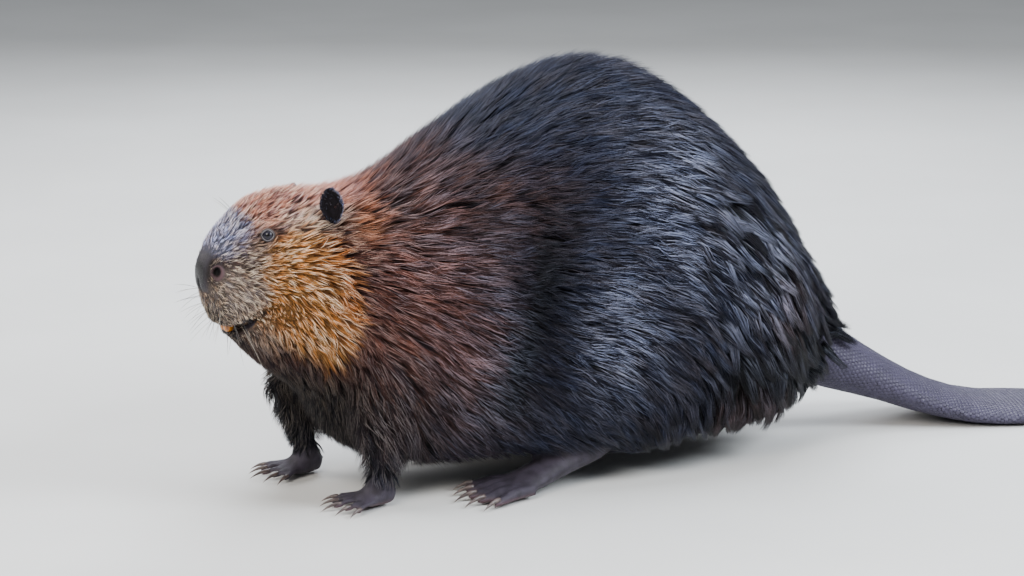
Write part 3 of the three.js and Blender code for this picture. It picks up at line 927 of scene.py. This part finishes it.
class BodyHair:
    """Guard hair behind the head. Each method gives a value for places on the animal."""

    segments, children = 2, 3
    wayward = (5.5, 3.0)  # degrees that hairs leave the lie and curl at each stride
    drift = 0.26  # how far locks wander between cold and warm

    def __init__(self, coat):
        self.coat = coat

    def room(self, p, normals):
        """Square millimetres of skin to each tuft."""
        room = 10.4 + 6 * (p[:, 2] < 50) + 10 * (normals[:, 2] < -0.6)
        return np.where(hairless(p) | (p[:, 1] < HEAD_LINE), np.inf, room)

    def lie(self, p):
        return lie(p)

    def length(self, p):
        return hair_length(p)

    def width(self, p):
        return self.coat.width * (0.27 + 0.12 * wetness(p))

    def spread(self, p):
        """The radius of the ring that a tuft's hairs are rooted in."""
        return 2.1 + 0.9 * wetness(p)

    def rise(self, p):
        """How far the tips stand off the skin."""
        return depth(p)

    def flyaway(self, p):
        """How much further than the rest the stray hairs stand."""
        legs = blob(p, (69, -250, 70), (40, 50, 36)) * 1.1
        return legs + blob(p, (0, -10, 392), (70, 90, 40)) + 1.5 * blob(p, (0, -330, 292), (50, 45, 16))

    def wet(self, p):
        return wetness(p)

    def hang(self, p):
        return hanging(p)

    def tone(self, p):
        return tones(p, self.coat)

    def straw(self, p):
        return bleached(p)

    def gleam(self, p):
        return gleam(p)


class HeadHair(BodyHair):
    """Short hair of the head."""

    wayward = (7.0, 5.0)
    drift = 0.14

    def room(self, p, normals):
        room = 3.0 + 5.4 * step(p[:, 1], -376, -290)
        return np.where(hairless(p) | (p[:, 1] >= HEAD_LINE), np.inf, room)

    def width(self, p):
        return self.coat.width * (0.16 + 0.13 * step(p[:, 1], -378, -285))

    def spread(self, p):
        return 1.1 + 0.8 * step(p[:, 1], -372, -285)


# How tufts gather into locks. Each pair is a value on dry hair, and what full wetness adds to it.
LEADING = (0.26, -0.20)  # share of the tufts that lead a lock
DRAWN = (0.34, 0.60)  # how far the other tips are drawn to their leader's
NEAR, FAR = (7, 9), (13, 13)  # millimetres from the leader where the draw starts to fade, and ends
BENDING = (0.055, -0.025)  # how far a hair's tip bends, as a share of its length
ALIKE = (0.14, 0.22)  # how far the hairs of a lock share one shade


def damp(pair, wet):
    return pair[0] + pair[1] * wet


def grown(pelt, growth):
    """Strands in tufts: their paths and directions, and what each carries."""
    rng = pelt.random
    sparse = 1.0
    roots, normals = pelt.roots(lambda p, n: growth.room(p, n) * sparse / growth.coat.density)
    p = own(roots)
    wet = growth.wet(p)
    length = growth.length(p) * (0.85 + 0.3 * rng.random(len(p))) * MM
    # Tufts run over the skin beside their leader, and their tips are drawn to its tip.
    lead = leaders(roots, rng.random(len(roots)) < damp(LEADING, wet))
    stray = rng.normal(0, 1, (len(roots), 2))
    stray = (stray[lead] * 0.75 + stray * 0.5) * np.radians(growth.wayward)
    paths, upright = pelt.laid(roots, normals, length, growth.hang(p), stray, growth.lie)
    levels = np.linspace(0, 1, growth.segments + 1)
    paths, upright = sampled(paths, levels), unit(sampled(upright, levels))
    lock, own_chance = rng.random(len(roots))[lead], rng.random(len(roots))
    away = np.linalg.norm(roots - roots[lead], axis=1) / MM
    pull = damp(DRAWN, wet) * (1 - step(away, damp(NEAR, wet), damp(FAR, wet)))
    paths = paths + (paths[lead] - paths) * (pull[:, None] * levels[None, :] ** 0.9)[..., None]
    forward = unit(np.gradient(paths, axis=1))
    side = unit(np.cross(forward, upright))

    # Hairs stand in a long ring round their tuft's root, close up towards the tip, and bend and rise.
    pick = np.repeat(np.arange(len(roots)), growth.children)
    n = len(pick)
    turn, reach = rng.random(n) * 2 * math.pi, np.sqrt(rng.random(n)) * growth.spread(p)[pick] * MM
    offset = np.stack([np.cos(turn) * reach, np.sin(turn) * reach * 1.6], 1)[:, None, :]
    offset = offset * (1 - 0.9 * levels**1.2)[None, :, None]
    bend = rng.normal(0, 1, (n, 2)) * (damp(BENDING, wet) * length)[pick][:, None]
    bend = bend[:, None, :] * (levels**1.8)[None, :, None]
    weight = damp(ALIKE, wet[pick])
    chance = weight * lock[pick] + (1 - weight) * (0.4 * own_chance[pick] + 0.6 * rng.random(n))
    chance = step(chance, 0.15, 0.85)
    proud = 0.75 + 0.32 * rng.random(n) + 0.12 * chance + 0.3 * wet[pick] * (lock[pick] - 0.5)
    lift = growth.rise(p)[pick] * MM * proud
    lift = lift * (1 + 0.9 * growth.flyaway(p)[pick] * rng.random(n))
    lift = lift[:, None] * levels[None, :] ** 0.85 - 0.0012 * (1 - levels)[None, :] ** 2
    line = (paths[pick] + side[pick] * (offset[..., :1] + bend[..., :1]) + forward[pick] * offset[..., 1:]
            + upright[pick] * (lift[..., None] + bend[..., 1:] * 0.35))
    line[..., 2] = np.maximum(line[..., 2], 0.6 * MM)
    # Whole locks are a little warmer or colder than their neighbours.
    start = own(line[:, 0])
    warmth = rng.normal(0, 1, len(roots))
    warmth = np.clip(warmth[lead] * 0.8 + warmth * 0.45, -1.6, 1.6)[pick, None] * growth.drift
    return {
        "line": line, "side": side[pick], "up": upright[pick], "start": start,
        "tone": growth.tone(start) * np.exp(warmth * (1.0, 0.4, -0.5)),
        "gleam": growth.gleam(start), "straw": growth.straw(start), "chance": chance, "wet": wet[pick],
        "width": growth.width(p)[pick] * MM * (1.1 + 0.35 * rng.random(n) - 0.65 * chance),
    }


def unwrapped(p):
    """Places on the bake map: the share of the way round the body's long axis, and along it."""
    x, y, z = p.T
    axis = np.interp(y, [-400, -320, -200, 0, 150, 260, 560], [215, 205, 205, 200, 150, 80, 4])
    at = np.stack([np.arctan2(x, axis - z), y], 1)
    return 0.01 + 0.98 * (at - at.min(0)) / np.maximum(np.ptp(at, axis=0), 1e-6)


def strand_piece(name, strands, segments, finish, thick=0.5):
    """One piece of coat."""
    shape, faces = strand_shape(segments)
    along, angle = np.clip(shape[:, 2], 0, 1), np.arctan2(shape[:, 1], shape[:, 0])
    ring = np.rint(along * segments).astype(int)
    half = girth(along)[None, :] * strands["width"][:, None]
    points = (strands["line"][:, ring] + strands["side"][:, ring] * (np.cos(angle) * half)[..., None]
              + strands["up"][:, ring] * (np.sin(angle) * half * thick)[..., None])
    count, size = points.shape[:2]
    carried = np.empty((count, size, 4))
    carried[..., 0] = along[None, :]
    for i, key in enumerate(("chance", "wet", "straw")):
        carried[..., i + 1] = strands[key][:, None]
    tone = np.concatenate([strands["tone"], strands["gleam"][:, None]], 1)[:, None, :]
    patch = np.stack([np.cos(angle) * 0.5, along - 0.5], 1) * PATCH
    uv = unwrapped(strands["start"])[:, None, :] + patch[None, :, :]
    return piece(name, joined(name, points, faces, uv, {"tone": tone, "strand": carried}), finish)


MOST = 19000  # hairs in one piece


def coat_pieces(name, strands, segments, finish):
    """Cuts a part of the coat into pieces of even size along the body."""
    order = np.argsort(strands["start"][:, 1], kind="stable")
    chunks = np.array_split(order, math.ceil(len(order) / MOST))
    for i, chunk in enumerate(chunks):
        some = {key: value[np.sort(chunk)] for key, value in strands.items()}
        strand_piece(f"{name}_{i + 1}", some, segments, finish)


def build_coat(coat):
    pelt = Pelt(bpy.data.objects["skin"].data, coat.seed)
    finish = fur_finish(coat)
    for name, kind in (("coat_body", BodyHair), ("coat_head", HeadHair)):
        coat_pieces(name, grown(pelt, kind(coat)), kind.segments, finish)


# ---------------------------------------------------------------- eyes and lids
# Lid profile from the wet edge to under the fur: millimetres out from the gap, and up from the ball.
LID_PROFILE = [(-0.4, -0.6), (0.0, 0.1), (0.25, 0.35), (0.6, 0.35), (1.0, -0.2), (1.5, -1.4), (2.0, -3.6)]
LID_CORNER = 1.6  # 2 makes the gap between the lids an ellipse, and less sharpens its corners
PUPIL, IRIS, WHITE = (17, 22), (40, 46), (52, 62)  # degrees from the pupil's middle where each edge lies


def eye_frame(name):
    """Centre and axes of an eye: towards its back corner, up, and out."""
    side = SIDES[name]
    out = Vector((EYE_OUT.x * side, EYE_OUT.y, EYE_OUT.z))
    back = Vector((0, 0, 1)).cross(out).normalized() * side
    return spot(EYE[0] * side, *EYE[1:]), back, out.cross(back) * side, out


def build_eyeball(name, coat):
    centre, _, _, out = eye_frame(name)
    shape = bmesh.new()
    bmesh.ops.create_uvsphere(shape, u_segments=48, v_segments=32, radius=EYE_RADIUS * MM)
    bmesh.ops.rotate(shape, verts=shape.verts, matrix=out.to_track_quat("Z", "Y").to_matrix())
    bmesh.ops.translate(shape, verts=shape.verts, vec=centre)
    mesh = mesh_from(shape, "eyeball_" + name)
    turn = np.degrees(np.arccos(np.clip(unit(places(mesh) - np.array(centre)) @ np.array(out), -1, 1)))
    tint(mesh, "parts", shares(len(turn), step(turn, *PUPIL) * (1 - step(turn, *IRIS)), step(turn, *WHITE)))
    piece("eyeball_" + name, mesh, eye_finish(coat), ["eye_" + name])


def build_eyelid(name, coat):
    centre, back, up, out = eye_frame(name)

    def place(u, v):
        along, high = math.cos(u * 2 * math.pi), math.sin(u * 2 * math.pi)
        wider, taller = abs(along) / EYE_OPENING[0], abs(high) / EYE_OPENING[1]
        gap = (wider**LID_CORNER + taller**LID_CORNER) ** (-1 / LID_CORNER)
        wide, tall = between(LID_PROFILE, v)
        reach = gap + wide
        ball = math.sqrt(max((EYE_RADIUS + 0.15) ** 2 - min(gap, EYE_RADIUS) ** 2, 0))
        level = ball + tall + (0.5 if high > 0 else 0.15) * abs(high) * (v > 0.2)
        return centre + (back * along * reach + up * high * reach + out * level) * MM

    shape = bmesh.new()
    wrapped(shape, 56, 18, place)
    bmesh.ops.solidify(shape, geom=shape.faces, thickness=0.25 * MM)
    mesh = mesh_from(shape, "eyelid_" + name)
    offset = own(places(mesh)) - own(centre)
    opening = np.hypot(offset @ np.array(back) / EYE_OPENING[0], offset @ np.array(up) / EYE_OPENING[1])
    tint(mesh, "parts", shares(len(opening), 1 - step(opening, 1.08, 1.2)))
    piece("eyelid_" + name, mesh, lid_finish(coat))


# ---------------------------------------------------------------- ears
# Ear section from the middle of its back round the rim into the cup: share of the outline, and how far out.
EAR_PROFILE = [(0.0, -4.6), (0.45, -4.8), (0.8, -3.4), (0.97, -0.6), (1.03, 1.6), (1.0, 2.8), (0.9, 2.9),
               (0.78, 1.0), (0.6, -1.2), (0.35, -2.6), (0.0, -2.9)]


def ear_frame(name):
    """Centre and axes of an ear: across towards its front edge, up, and out of its cup."""
    side = SIDES[name]
    at, lean = EARS[name]
    flare = Matrix.Rotation(-side * math.radians(EAR_FLARE), 3, "Z")
    turn = flare @ Matrix.Rotation(math.radians(lean), 3, "X")
    axes = [turn @ Vector(way) for way in ((0, -1, 0), (0, 0, 1), (side, 0, 0))]
    return spot(at[0] * side, *at[1:]), *axes


def build_ear(name):
    centre, across, up, out = ear_frame(name)
    wide, tall = EAR_HALF

    def place(u, v):
        angle = u * 2 * math.pi
        along, high = math.cos(angle), math.sin(angle)
        share, level = between(EAR_PROFILE, v)
        narrow = 1 - 0.22 * max(-high, 0)
        fold = 1.6 * max(along, 0) ** 2 + 1.1 * max(high, 0) ** 2 - 1.2 * max(-high, 0)
        fold += 0.35 * math.sin(3 * angle + 1)
        return centre + (across * along * wide * narrow * share + up * high * tall * share
                         + out * (level + fold * share)) * MM

    shape = bmesh.new()
    wrapped(shape, 44, 30, place)
    bmesh.ops.smooth_vert(shape, verts=shape.verts, factor=0.5, use_axis_x=True, use_axis_y=True,
                          use_axis_z=True)
    mesh = mesh_from(shape, "ear_shell_" + name)
    piece("ear_shell_" + name, mesh, ear_finish(), ["ear_" + name])


class EarHair(BodyHair):
    """Short dark fuzz on the back, the rim and the inside of an ear."""

    def __init__(self, coat, name):
        super().__init__(coat)
        centre, self.across, self.up, self.out = (np.array(v) for v in ear_frame(name))
        self.centre = own(centre)

    def cup(self, p):
        """How far a place lies out along the cup's axis, and its share of the way to the rim."""
        offset = p - self.centre
        return offset @ self.out, np.hypot(offset @ self.across / EAR_HALF[0], offset @ self.up / EAR_HALF[1])

    def room(self, p, normals):
        inner = (normals @ self.out > 0.1) & (self.cup(p)[1] < 0.86)
        return np.where(inner, 5.5, 1.5)

    def lie(self, p):
        return unit(p - self.centre) * 0.6 + self.up * 0.9 - self.across * 0.3

    def length(self, p):
        return 2.8 + 0.8 * step(self.cup(p)[1], 0.7, 1.0)

    def width(self, p):
        return np.full(len(p), self.coat.width * 0.18)

    def spread(self, p):
        return np.full(len(p), 0.9)

    def rise(self, p):
        return 0.5 + 0.5 * step(self.cup(p)[1], 0.75, 1.0)

    def flyaway(self, p):
        return np.zeros(len(p))

    def wet(self, p):
        return np.full(len(p), 0.15)

    def hang(self, p):
        return np.full(len(p), 0.85)

    def tone(self, p):
        out, share = self.cup(p)
        # Painted sheen: the rear of the rim is lightened towards slate.
        edge = step(share, 0.72, 0.95) * step(-(p - self.centre) @ self.across, -2.0, 6.0)
        rim = np.array(self.coat.dark) + (np.array(self.coat.slate) * 0.55 - self.coat.dark) * edge[:, None]
        return rim + (np.array(self.coat.rufous) * 0.7 - rim) * ((1 - step(out, -4.6, -3.4)) * 0.7)[:, None]

    def straw(self, p):
        return np.zeros(len(p))

    def gleam(self, p):
        return np.full(len(p), 0.12)


def build_ear_hair(coat):
    finish = fur_finish(coat)
    for name in SIDES:
        growth = EarHair(coat, name)
        pelt = Pelt(bpy.data.objects["ear_shell_" + name].data, coat.seed + 5)
        strand_piece("ear_hair_" + name, grown(pelt, growth), growth.segments, finish)


# ---------------------------------------------------------------- teeth and claws
def bar(shape, line, half_width, flat, across, around=16, along=14, power=2.0):
    """A closed bar along a curve. line and half_width give a place and a size for a share of the way."""

    def place(u, v):
        way = (line(min(v + 0.01, 1)) - line(max(v - 0.01, 0))).normalized()
        up = across.cross(way).normalized()
        c, s = math.cos(u * 2 * math.pi), math.sin(u * 2 * math.pi)
        square = (abs(c) ** power + abs(s) ** power) ** (-1 / power)
        half = half_width(v) if 1e-6 < v < 1 - 1e-6 else 0
        return line(v) + (across * c + up * s * flat) * half * square

    wrapped(shape, around, along, place)


def build_incisors(coat):
    """The pair of upper front teeth, chisels that curve back into the mouth."""
    shape = bmesh.new()
    for side in SIDES.values():
        def line(v):
            drop = -14 + 26 * v
            return spot(side * TOOTH_AT[0], TOOTH_AT[1] + 0.012 * (drop - 4) ** 2, TOOTH_AT[2] - drop)

        def half_width(v):
            return TOOTH_HALF * MM * (1 - 3 * max(v - 0.9, 0))

        bar(shape, line, half_width, 1.1, Vector((1, 0, 0)), 20, 16, 3.2)
    piece("front_teeth", mesh_from(shape, "front_teeth"), enamel_finish(coat), ["incisors"])


def build_claws(foot, name):
    """The claws of one foot, each drawn from the root to the tip of its solid claw."""
    shape = bmesh.new()
    nodes = [f"{foot}claw_{name}_{i}" for i in range(1, 6)]
    for node in nodes:
        points = places(frame["nodes"][node].data)
        rear = points[points[:, 1] > points[:, 1].max() - 0.3 * np.ptp(points[:, 1])]
        root, tip = Vector(rear.mean(0)), Vector(points[points[:, 1].argmin()])
        root -= (tip - root) * 0.15
        wide = np.ptp(rear[:, 2]) / 2

        def line(v):
            return root.lerp(tip, v) + Vector((0, 0, 0.4 * v * (1 - v) * (tip - root).length))

        across = (tip - root).cross(Vector((0, 0, 1))).normalized()
        bar(shape, line, lambda v: max(wide * 0.8 * (1 - v**1.7), 0.25 * MM), 1.15, across, 12, 12)
    mesh = mesh_from(shape, f"claws_{foot}_{name}")
    heights = places(mesh)[:, 2]
    tint(mesh, "parts", shares(len(heights), 1 - step(heights, 0.0015, 0.006)))
    piece(f"claws_{foot}_{name}", mesh, horn_finish(), nodes)


# ---------------------------------------------------------------- tail scales
SCALE_LONG, SCALE_WIDE, SCALE_HIGH = 4.0, 4.4, 0.55  # spacing along and across the tail, and height
SCALE_ROWS = (4.0, 416.0)  # where the rows start and stop along the spine
SCALE_RAYS, SCALE_HITS = 96, 90  # rays that find the skin round a row, and how many have to meet it


def spine_at(marks):
    """Places on the tail's spine at distances from its start."""
    spine = np.array(TAIL_SPINE, float)
    length = np.concatenate([[0], np.cumsum(np.linalg.norm(np.diff(spine, axis=0), axis=1))])
    return np.stack([np.interp(marks, length, spine[:, axis]) for axis in range(3)], 1)


def scale_places(pelt):
    """Where the plates lie, in rows round the tail, and each one's way along the spine."""
    rows = np.arange(*SCALE_ROWS, SCALE_LONG)
    ahead = unit(spine_at(rows + 12) - spine_at(rows - 12))
    spots, ways = [], []
    for row, (centre, way) in enumerate(zip(spine_at(rows), ahead)):
        across = unit(np.cross(way, (0, 0, 1)))
        up = np.cross(across, way)
        ring = []
        for turn in np.linspace(0, 2 * math.pi, SCALE_RAYS, endpoint=False):
            ray = across * math.cos(turn) + up * math.sin(turn)
            hit = pelt.tree.ray_cast(Vector(framed(centre)), Vector(ray), 90 * MM)[0]
            if hit is not None:
                ring.append(own(hit))
        if len(ring) < SCALE_HITS:
            continue
        ring = np.array(ring + ring[:1])
        marks = np.concatenate([[0], np.cumsum(np.linalg.norm(np.diff(ring, axis=0), axis=1))])
        number = round(marks[-1] / SCALE_WIDE)
        at = (np.arange(number) + 0.5 * (row % 2)) * marks[-1] / number
        spots.append(np.stack([np.interp(at, marks, ring[:, axis]) for axis in range(3)], 1))
        ways.append(np.tile(way, (number, 1)))
    return np.concatenate(spots), np.concatenate(ways)


def build_scales(coat):
    """Rows of six-sided plates round the tail, each row set half a plate on from the last."""
    pelt = Pelt(bpy.data.objects["skin"].data, coat.seed + 3)
    spots, ways = scale_places(pelt)
    found, normals = pelt.snapped(framed(spots))
    keep = (found[:, 2] > 0.9 * MM) & (bare(own(found)) > 0.6)
    found, normals, ways = found[keep], normals[keep], ways[keep]
    back = unit(ways - normals * (ways * normals).sum(1)[:, None])
    side = np.cross(normals, back)

    shape = bmesh.new()
    bmesh.ops.create_cone(shape, segments=6, radius1=0.5, radius2=0.34, depth=1, cap_ends=True)
    plate, faces = unpacked(shape)
    count = len(found)
    size = (0.92 + 0.16 * pelt.random.random((count, 1))) * MM
    wide = (plate[:, 0] * SCALE_WIDE * 1.12 * size)[..., None]
    long = (plate[:, 1] * SCALE_LONG * 1.28 * size)[..., None]
    high = (plate[:, 2] * SCALE_HIGH * size)[..., None] + 0.12 * long
    points = (found[:, None, :] + side[:, None, :] * wide + back[:, None, :] * long
              + normals[:, None, :] * high)
    points[..., 2] = np.maximum(points[..., 2], 0.1 * MM)
    carried = np.zeros((count, len(plate), 4))
    carried[..., 0] = (plate[:, 2] < 0)[None, :]
    carried[..., 1] = pelt.random.random(count)[:, None]
    uv = unwrapped(own(found))[:, None, :] + plate[None, :, :2] * PATCH
    mesh = joined("scales", points, faces, uv, {"plate": carried})
    piece("scales", mesh, scale_finish(coat))


# ---------------------------------------------------------------- whiskers
WHISKER_HALF = 0.24
# Rows of whiskers on the lip: height, place along the animal, and number.
WHISKER_ROWS = [(172.5, -380, 4), (178, -385, 5), (185, -388, 5), (192, -388, 4), (199, -387, 3)]


def build_whiskers(coat):
    """Stiff hairs of the upper lip, longer to the rear, and a few over each eye."""
    pelt = Pelt(bpy.data.objects["skin"].data, coat.seed + 9)
    rng = pelt.random
    roots, aims, lengths = [], [], []
    for side in SIDES.values():
        for z, y, number in WHISKER_ROWS:
            for k in range(number):
                share = k / 4
                roots.append((side * (12 + 15 * share), y + 16 * share, z + rng.normal(0, 0.8)))
                aims.append((side * (0.55 + 0.35 * share), -0.62 + 0.75 * share, -0.62 + 0.02 * (z - 172)))
                lengths.append((24 + 26 * share) * (0.8 + 0.4 * rng.random()))
        for k in range(3):
            roots.append((side * (34 - 3 * k), -352 - 3 * k, 262 + k))
            aims.append((side * 0.5, -0.35 - 0.1 * k, 0.75))
            lengths.append(22 + 8 * rng.random())
    found, _ = pelt.snapped(framed(roots))
    aims = unit(np.array(aims) + rng.normal(0, 0.09, (len(aims), 3)))
    levels = np.linspace(0, 1, 9)
    lengths = np.array(lengths)[:, None] * MM
    line = found[:, None, :] + aims[:, None, :] * (lengths * levels)[..., None]
    line[..., 2] -= 0.16 * lengths * levels**2.2
    side = np.repeat(unit(np.cross(aims, (0, 0, 1)))[:, None, :], len(levels), axis=1)
    count = len(found)
    none = np.zeros(count)
    strands = {
        "line": line, "side": side, "up": np.cross(side, aims[:, None, :]), "start": own(found),
        "tone": np.zeros((count, 3)), "gleam": none, "straw": none, "chance": rng.random(count), "wet": none,
        "width": np.full(count, WHISKER_HALF * MM),
    }
    strand_piece("whiskers", strands, len(levels) - 1, whisker_finish(), thick=1.0)


# ---------------------------------------------------------------- settings
def tone_setting(name, description, value):
    return FloatVectorProperty(name=name, description=description, default=value, size=3, subtype="COLOR",
                               min=0, max=1)


class BeaverCoat(bpy.types.PropertyGroup):
    """Colours and build of the coat and skin."""

    dark: tone_setting("Dark", "Guard hair of the back and flanks", (0.0125, 0.0118, 0.0220))
    # Shadow is painted shade, laid on the hair in the hollow before the thigh, on the chest, under the throat
    # and under the rump.
    shadow: tone_setting("Shadow", "Hair before the thigh and under the rump", (0.0022, 0.0014, 0.0022))
    umber: tone_setting("Umber", "Warmer hair of the ribs and under the rump", (0.042, 0.020, 0.016))
    rufous: tone_setting("Rufous", "Hair of the neck behind the cheeks", (0.092, 0.034, 0.024))
    crown: tone_setting("Crown", "Hair of the top of the head", (0.44, 0.185, 0.135))
    gold: tone_setting("Gold", "Hair of the cheeks and throat", (0.52, 0.225, 0.052))
    ginger: tone_setting("Ginger", "Hair behind the ear and at the back of the cheek", (0.36, 0.105, 0.016))
    straw: tone_setting("Straw", "Bleached tips", (1.0, 0.83, 0.63))
    tan: tone_setting("Tan", "Hair beside the snout and on the chin", (0.33, 0.255, 0.21))
    # Slate is the bridge's sleek hair with a painted blue-grey sheen; the rims of the ears take it as painted
    # sheen too.
    slate: tone_setting("Slate", "Sleek hair of the bridge of the nose", (0.22, 0.22, 0.31))
    # Silver is a painted highlight, added to the colour of wet hair where it catches the sky.
    silver: tone_setting("Silver", "Light caught by wet hair", (0.42, 0.47, 0.62))
    lip: tone_setting("Lip", "Dark hair and skin round the mouth and eyes", (0.035, 0.026, 0.024))
    hide: tone_setting("Hide", "Naked skin of the nose and feet", (0.040, 0.033, 0.048))
    flush: tone_setting("Flush", "Rosy skin of the nostrils and soles", (0.15, 0.072, 0.076))
    tail: tone_setting("Tail", "Scaly skin of the tail", (0.050, 0.043, 0.078))
    iris: tone_setting("Iris", "Iris of the eye", (0.018, 0.016, 0.026))
    enamel: tone_setting("Enamel", "Front of the teeth", (0.62, 0.21, 0.020))
    width: FloatProperty(name="Hair width", default=1.9, min=0.2, max=4,
                         description="What every hair's half-width is a share of, in millimetres")
    density: FloatProperty(name="Density", description="Share of the full number of tufts", default=1.0,
                           min=0.1, max=1.5)
    seed: IntProperty(name="Seed", description="Start of the random growth", default=11, min=0)


class BeaverStage(bpy.types.PropertyGroup):
    """Camera and lights."""

    azimuth: FloatProperty(name="Azimuth", description="Camera's way round the animal from its nose",
                           default=math.radians(63), subtype="ANGLE")
    elevation: FloatProperty(name="Elevation", description="Camera's height above the horizon",
                             default=math.radians(12), subtype="ANGLE")
    distance: FloatProperty(name="Distance", description="Camera to animal", default=3.0, min=0.5,
                            unit="LENGTH")
    lens: FloatProperty(name="Lens", description="Focal length, in millimetres", default=113.4, min=20)
    key: FloatProperty(name="Key light", description="Power of the main light, in watts", default=85.0, min=0)
    sky: FloatProperty(name="Sky", description="Strength of the even light from all round", default=0.30,
                       min=0)


# ---------------------------------------------------------------- stage
AIM = (0, -85.3, 171.6)  # what the camera and the lamps point at
# Lamps: name, place, size in metres, share of the main light's power, and colour.
LAMPS = [
    ("key", (1500, 1300, 1500), 1.0, 1.0, (0.88, 0.94, 1.0)),
    ("front", (1500, -1700, 1700), 1.2, 0.75, (1.0, 0.95, 0.88)),
    ("top", (-200, 100, 2300), 1.6, 0.75, (0.86, 0.92, 1.0)),
    ("back", (-1700, 900, 1500), 1.4, 0.6, (0.88, 0.93, 1.0)),
    ("far", (-1300, -1500, 1300), 1.4, 0.4, (1.0, 0.96, 0.92)),
]
SKY_COLOUR = (0.84, 0.90, 0.98, 1)
FLOOR_RADIUS = 14.0
SENSOR_WIDTH = 36


def aimed(name, data, at, way):
    """A lamp or a camera at a place, pointing one way."""
    made = placed(name, data)
    made.location = at
    made.rotation_mode = "QUATERNION"
    made.rotation_quaternion = way.to_track_quat("-Z", "Y")
    return made


def build_floor():
    shape = bmesh.new()
    bmesh.ops.create_circle(shape, cap_ends=True, segments=96, radius=FLOOR_RADIUS)
    floor = placed("floor", mesh_from(shape, "floor"))
    paper = Finish("floor_paper", Roughness=0.9, Specular_IOR_Level=0.2)
    grain = paper.noise(3.0).ramp(0.3, 0.7)
    paper.set("Base Color", paper.mix(grain, PAPER_DARK, PAPER_PALE))
    floor.data.materials.append(paper.material)


def build_lights(stage):
    for name, at, size, share, warmth in LAMPS:
        light = bpy.data.lights.new(name, "AREA")
        light.size, light.energy, light.color = size, stage.key * share, warmth
        aimed(name, light, spot(*at), spot(*AIM) - spot(*at))
    world = bpy.data.worlds.new("studio")
    world.use_nodes = True
    sky = world.node_tree.nodes["Background"]
    sky.inputs["Color"].default_value = SKY_COLOUR
    sky.inputs["Strength"].default_value = stage.sky
    bpy.context.scene.world = world


def build_camera(stage):
    a, e = stage.azimuth, stage.elevation
    back = Vector((math.sin(a) * math.cos(e), -math.cos(a) * math.cos(e), math.sin(e)))
    camera = aimed("camera", bpy.data.cameras.new("camera"), spot(*AIM) + back * stage.distance, -back)
    camera.data.lens, camera.data.sensor_width = stage.lens, SENSOR_WIDTH
    bpy.context.scene.camera = camera


# ---------------------------------------------------------------- operators
class BuildStage(bpy.types.Operator):
    """Sets the floor, the lights and the camera"""

    bl_idname = "beaver.stage"
    bl_label = "Stage"

    def execute(self, context):
        build_floor()
        build_lights(context.scene.beaver_stage)
        build_camera(context.scene.beaver_stage)
        return {"FINISHED"}


class BuildSkin(bpy.types.Operator):
    """Makes the skin under the coat"""

    bl_idname = "beaver.skin"
    bl_label = "Skin"

    def execute(self, context):
        build_skin(context.scene.beaver_coat)
        return {"FINISHED"}


class BuildEyes(bpy.types.Operator):
    """Makes the eyes and their lids"""

    bl_idname = "beaver.eyes"
    bl_label = "Eyes"

    def execute(self, context):
        for name in SIDES:
            build_eyeball(name, context.scene.beaver_coat)
            build_eyelid(name, context.scene.beaver_coat)
        return {"FINISHED"}


class BuildEars(bpy.types.Operator):
    """Makes the ears"""

    bl_idname = "beaver.ears"
    bl_label = "Ears"

    def execute(self, context):
        for name in SIDES:
            build_ear(name)
        build_ear_hair(context.scene.beaver_coat)
        return {"FINISHED"}


class BuildHorn(bpy.types.Operator):
    """Makes the front teeth and the claws"""

    bl_idname = "beaver.horn"
    bl_label = "Teeth and claws"

    def execute(self, context):
        build_incisors(context.scene.beaver_coat)
        for foot in ("fore", "hind"):
            for name in SIDES:
                build_claws(foot, name)
        return {"FINISHED"}


class BuildScales(bpy.types.Operator):
    """Lays the scales on the tail"""

    bl_idname = "beaver.scales"
    bl_label = "Tail scales"

    def execute(self, context):
        build_scales(context.scene.beaver_coat)
        return {"FINISHED"}


class BuildCoat(bpy.types.Operator):
    """Grows the coat on the skin"""

    bl_idname = "beaver.coat"
    bl_label = "Coat"

    def execute(self, context):
        build_coat(context.scene.beaver_coat)
        return {"FINISHED"}


class BuildWhiskers(bpy.types.Operator):
    """Sets the whiskers in the lips and brows"""

    bl_idname = "beaver.whiskers"
    bl_label = "Whiskers"

    def execute(self, context):
        build_whiskers(context.scene.beaver_coat)
        return {"FINISHED"}


STEPS = (BuildStage, BuildSkin, BuildEyes, BuildEars, BuildHorn, BuildScales, BuildCoat, BuildWhiskers)


class BeaverPanel(bpy.types.Panel):
    """The steps of the build"""

    bl_idname = "VIEW3D_PT_beaver"
    bl_label = "Beaver"
    bl_space_type = "VIEW_3D"
    bl_region_type = "UI"
    bl_category = "Beaver"

    def draw(self, context):
        for operator in STEPS:
            self.layout.operator(operator.bl_idname)


CLASSES = (BeaverCoat, BeaverStage, *STEPS, BeaverPanel)


def register():
    for kind in CLASSES:
        bpy.utils.register_class(kind)
    bpy.types.Scene.beaver_coat = PointerProperty(type=BeaverCoat)
    bpy.types.Scene.beaver_stage = PointerProperty(type=BeaverStage)


def unregister():
    del bpy.types.Scene.beaver_stage
    del bpy.types.Scene.beaver_coat
    for kind in reversed(CLASSES):
        bpy.utils.unregister_class(kind)


def main():
    register()
    for operator in STEPS:
        getattr(bpy.ops.beaver, operator.bl_idname.split(".")[1])()


if __name__ == "__main__":
    main()
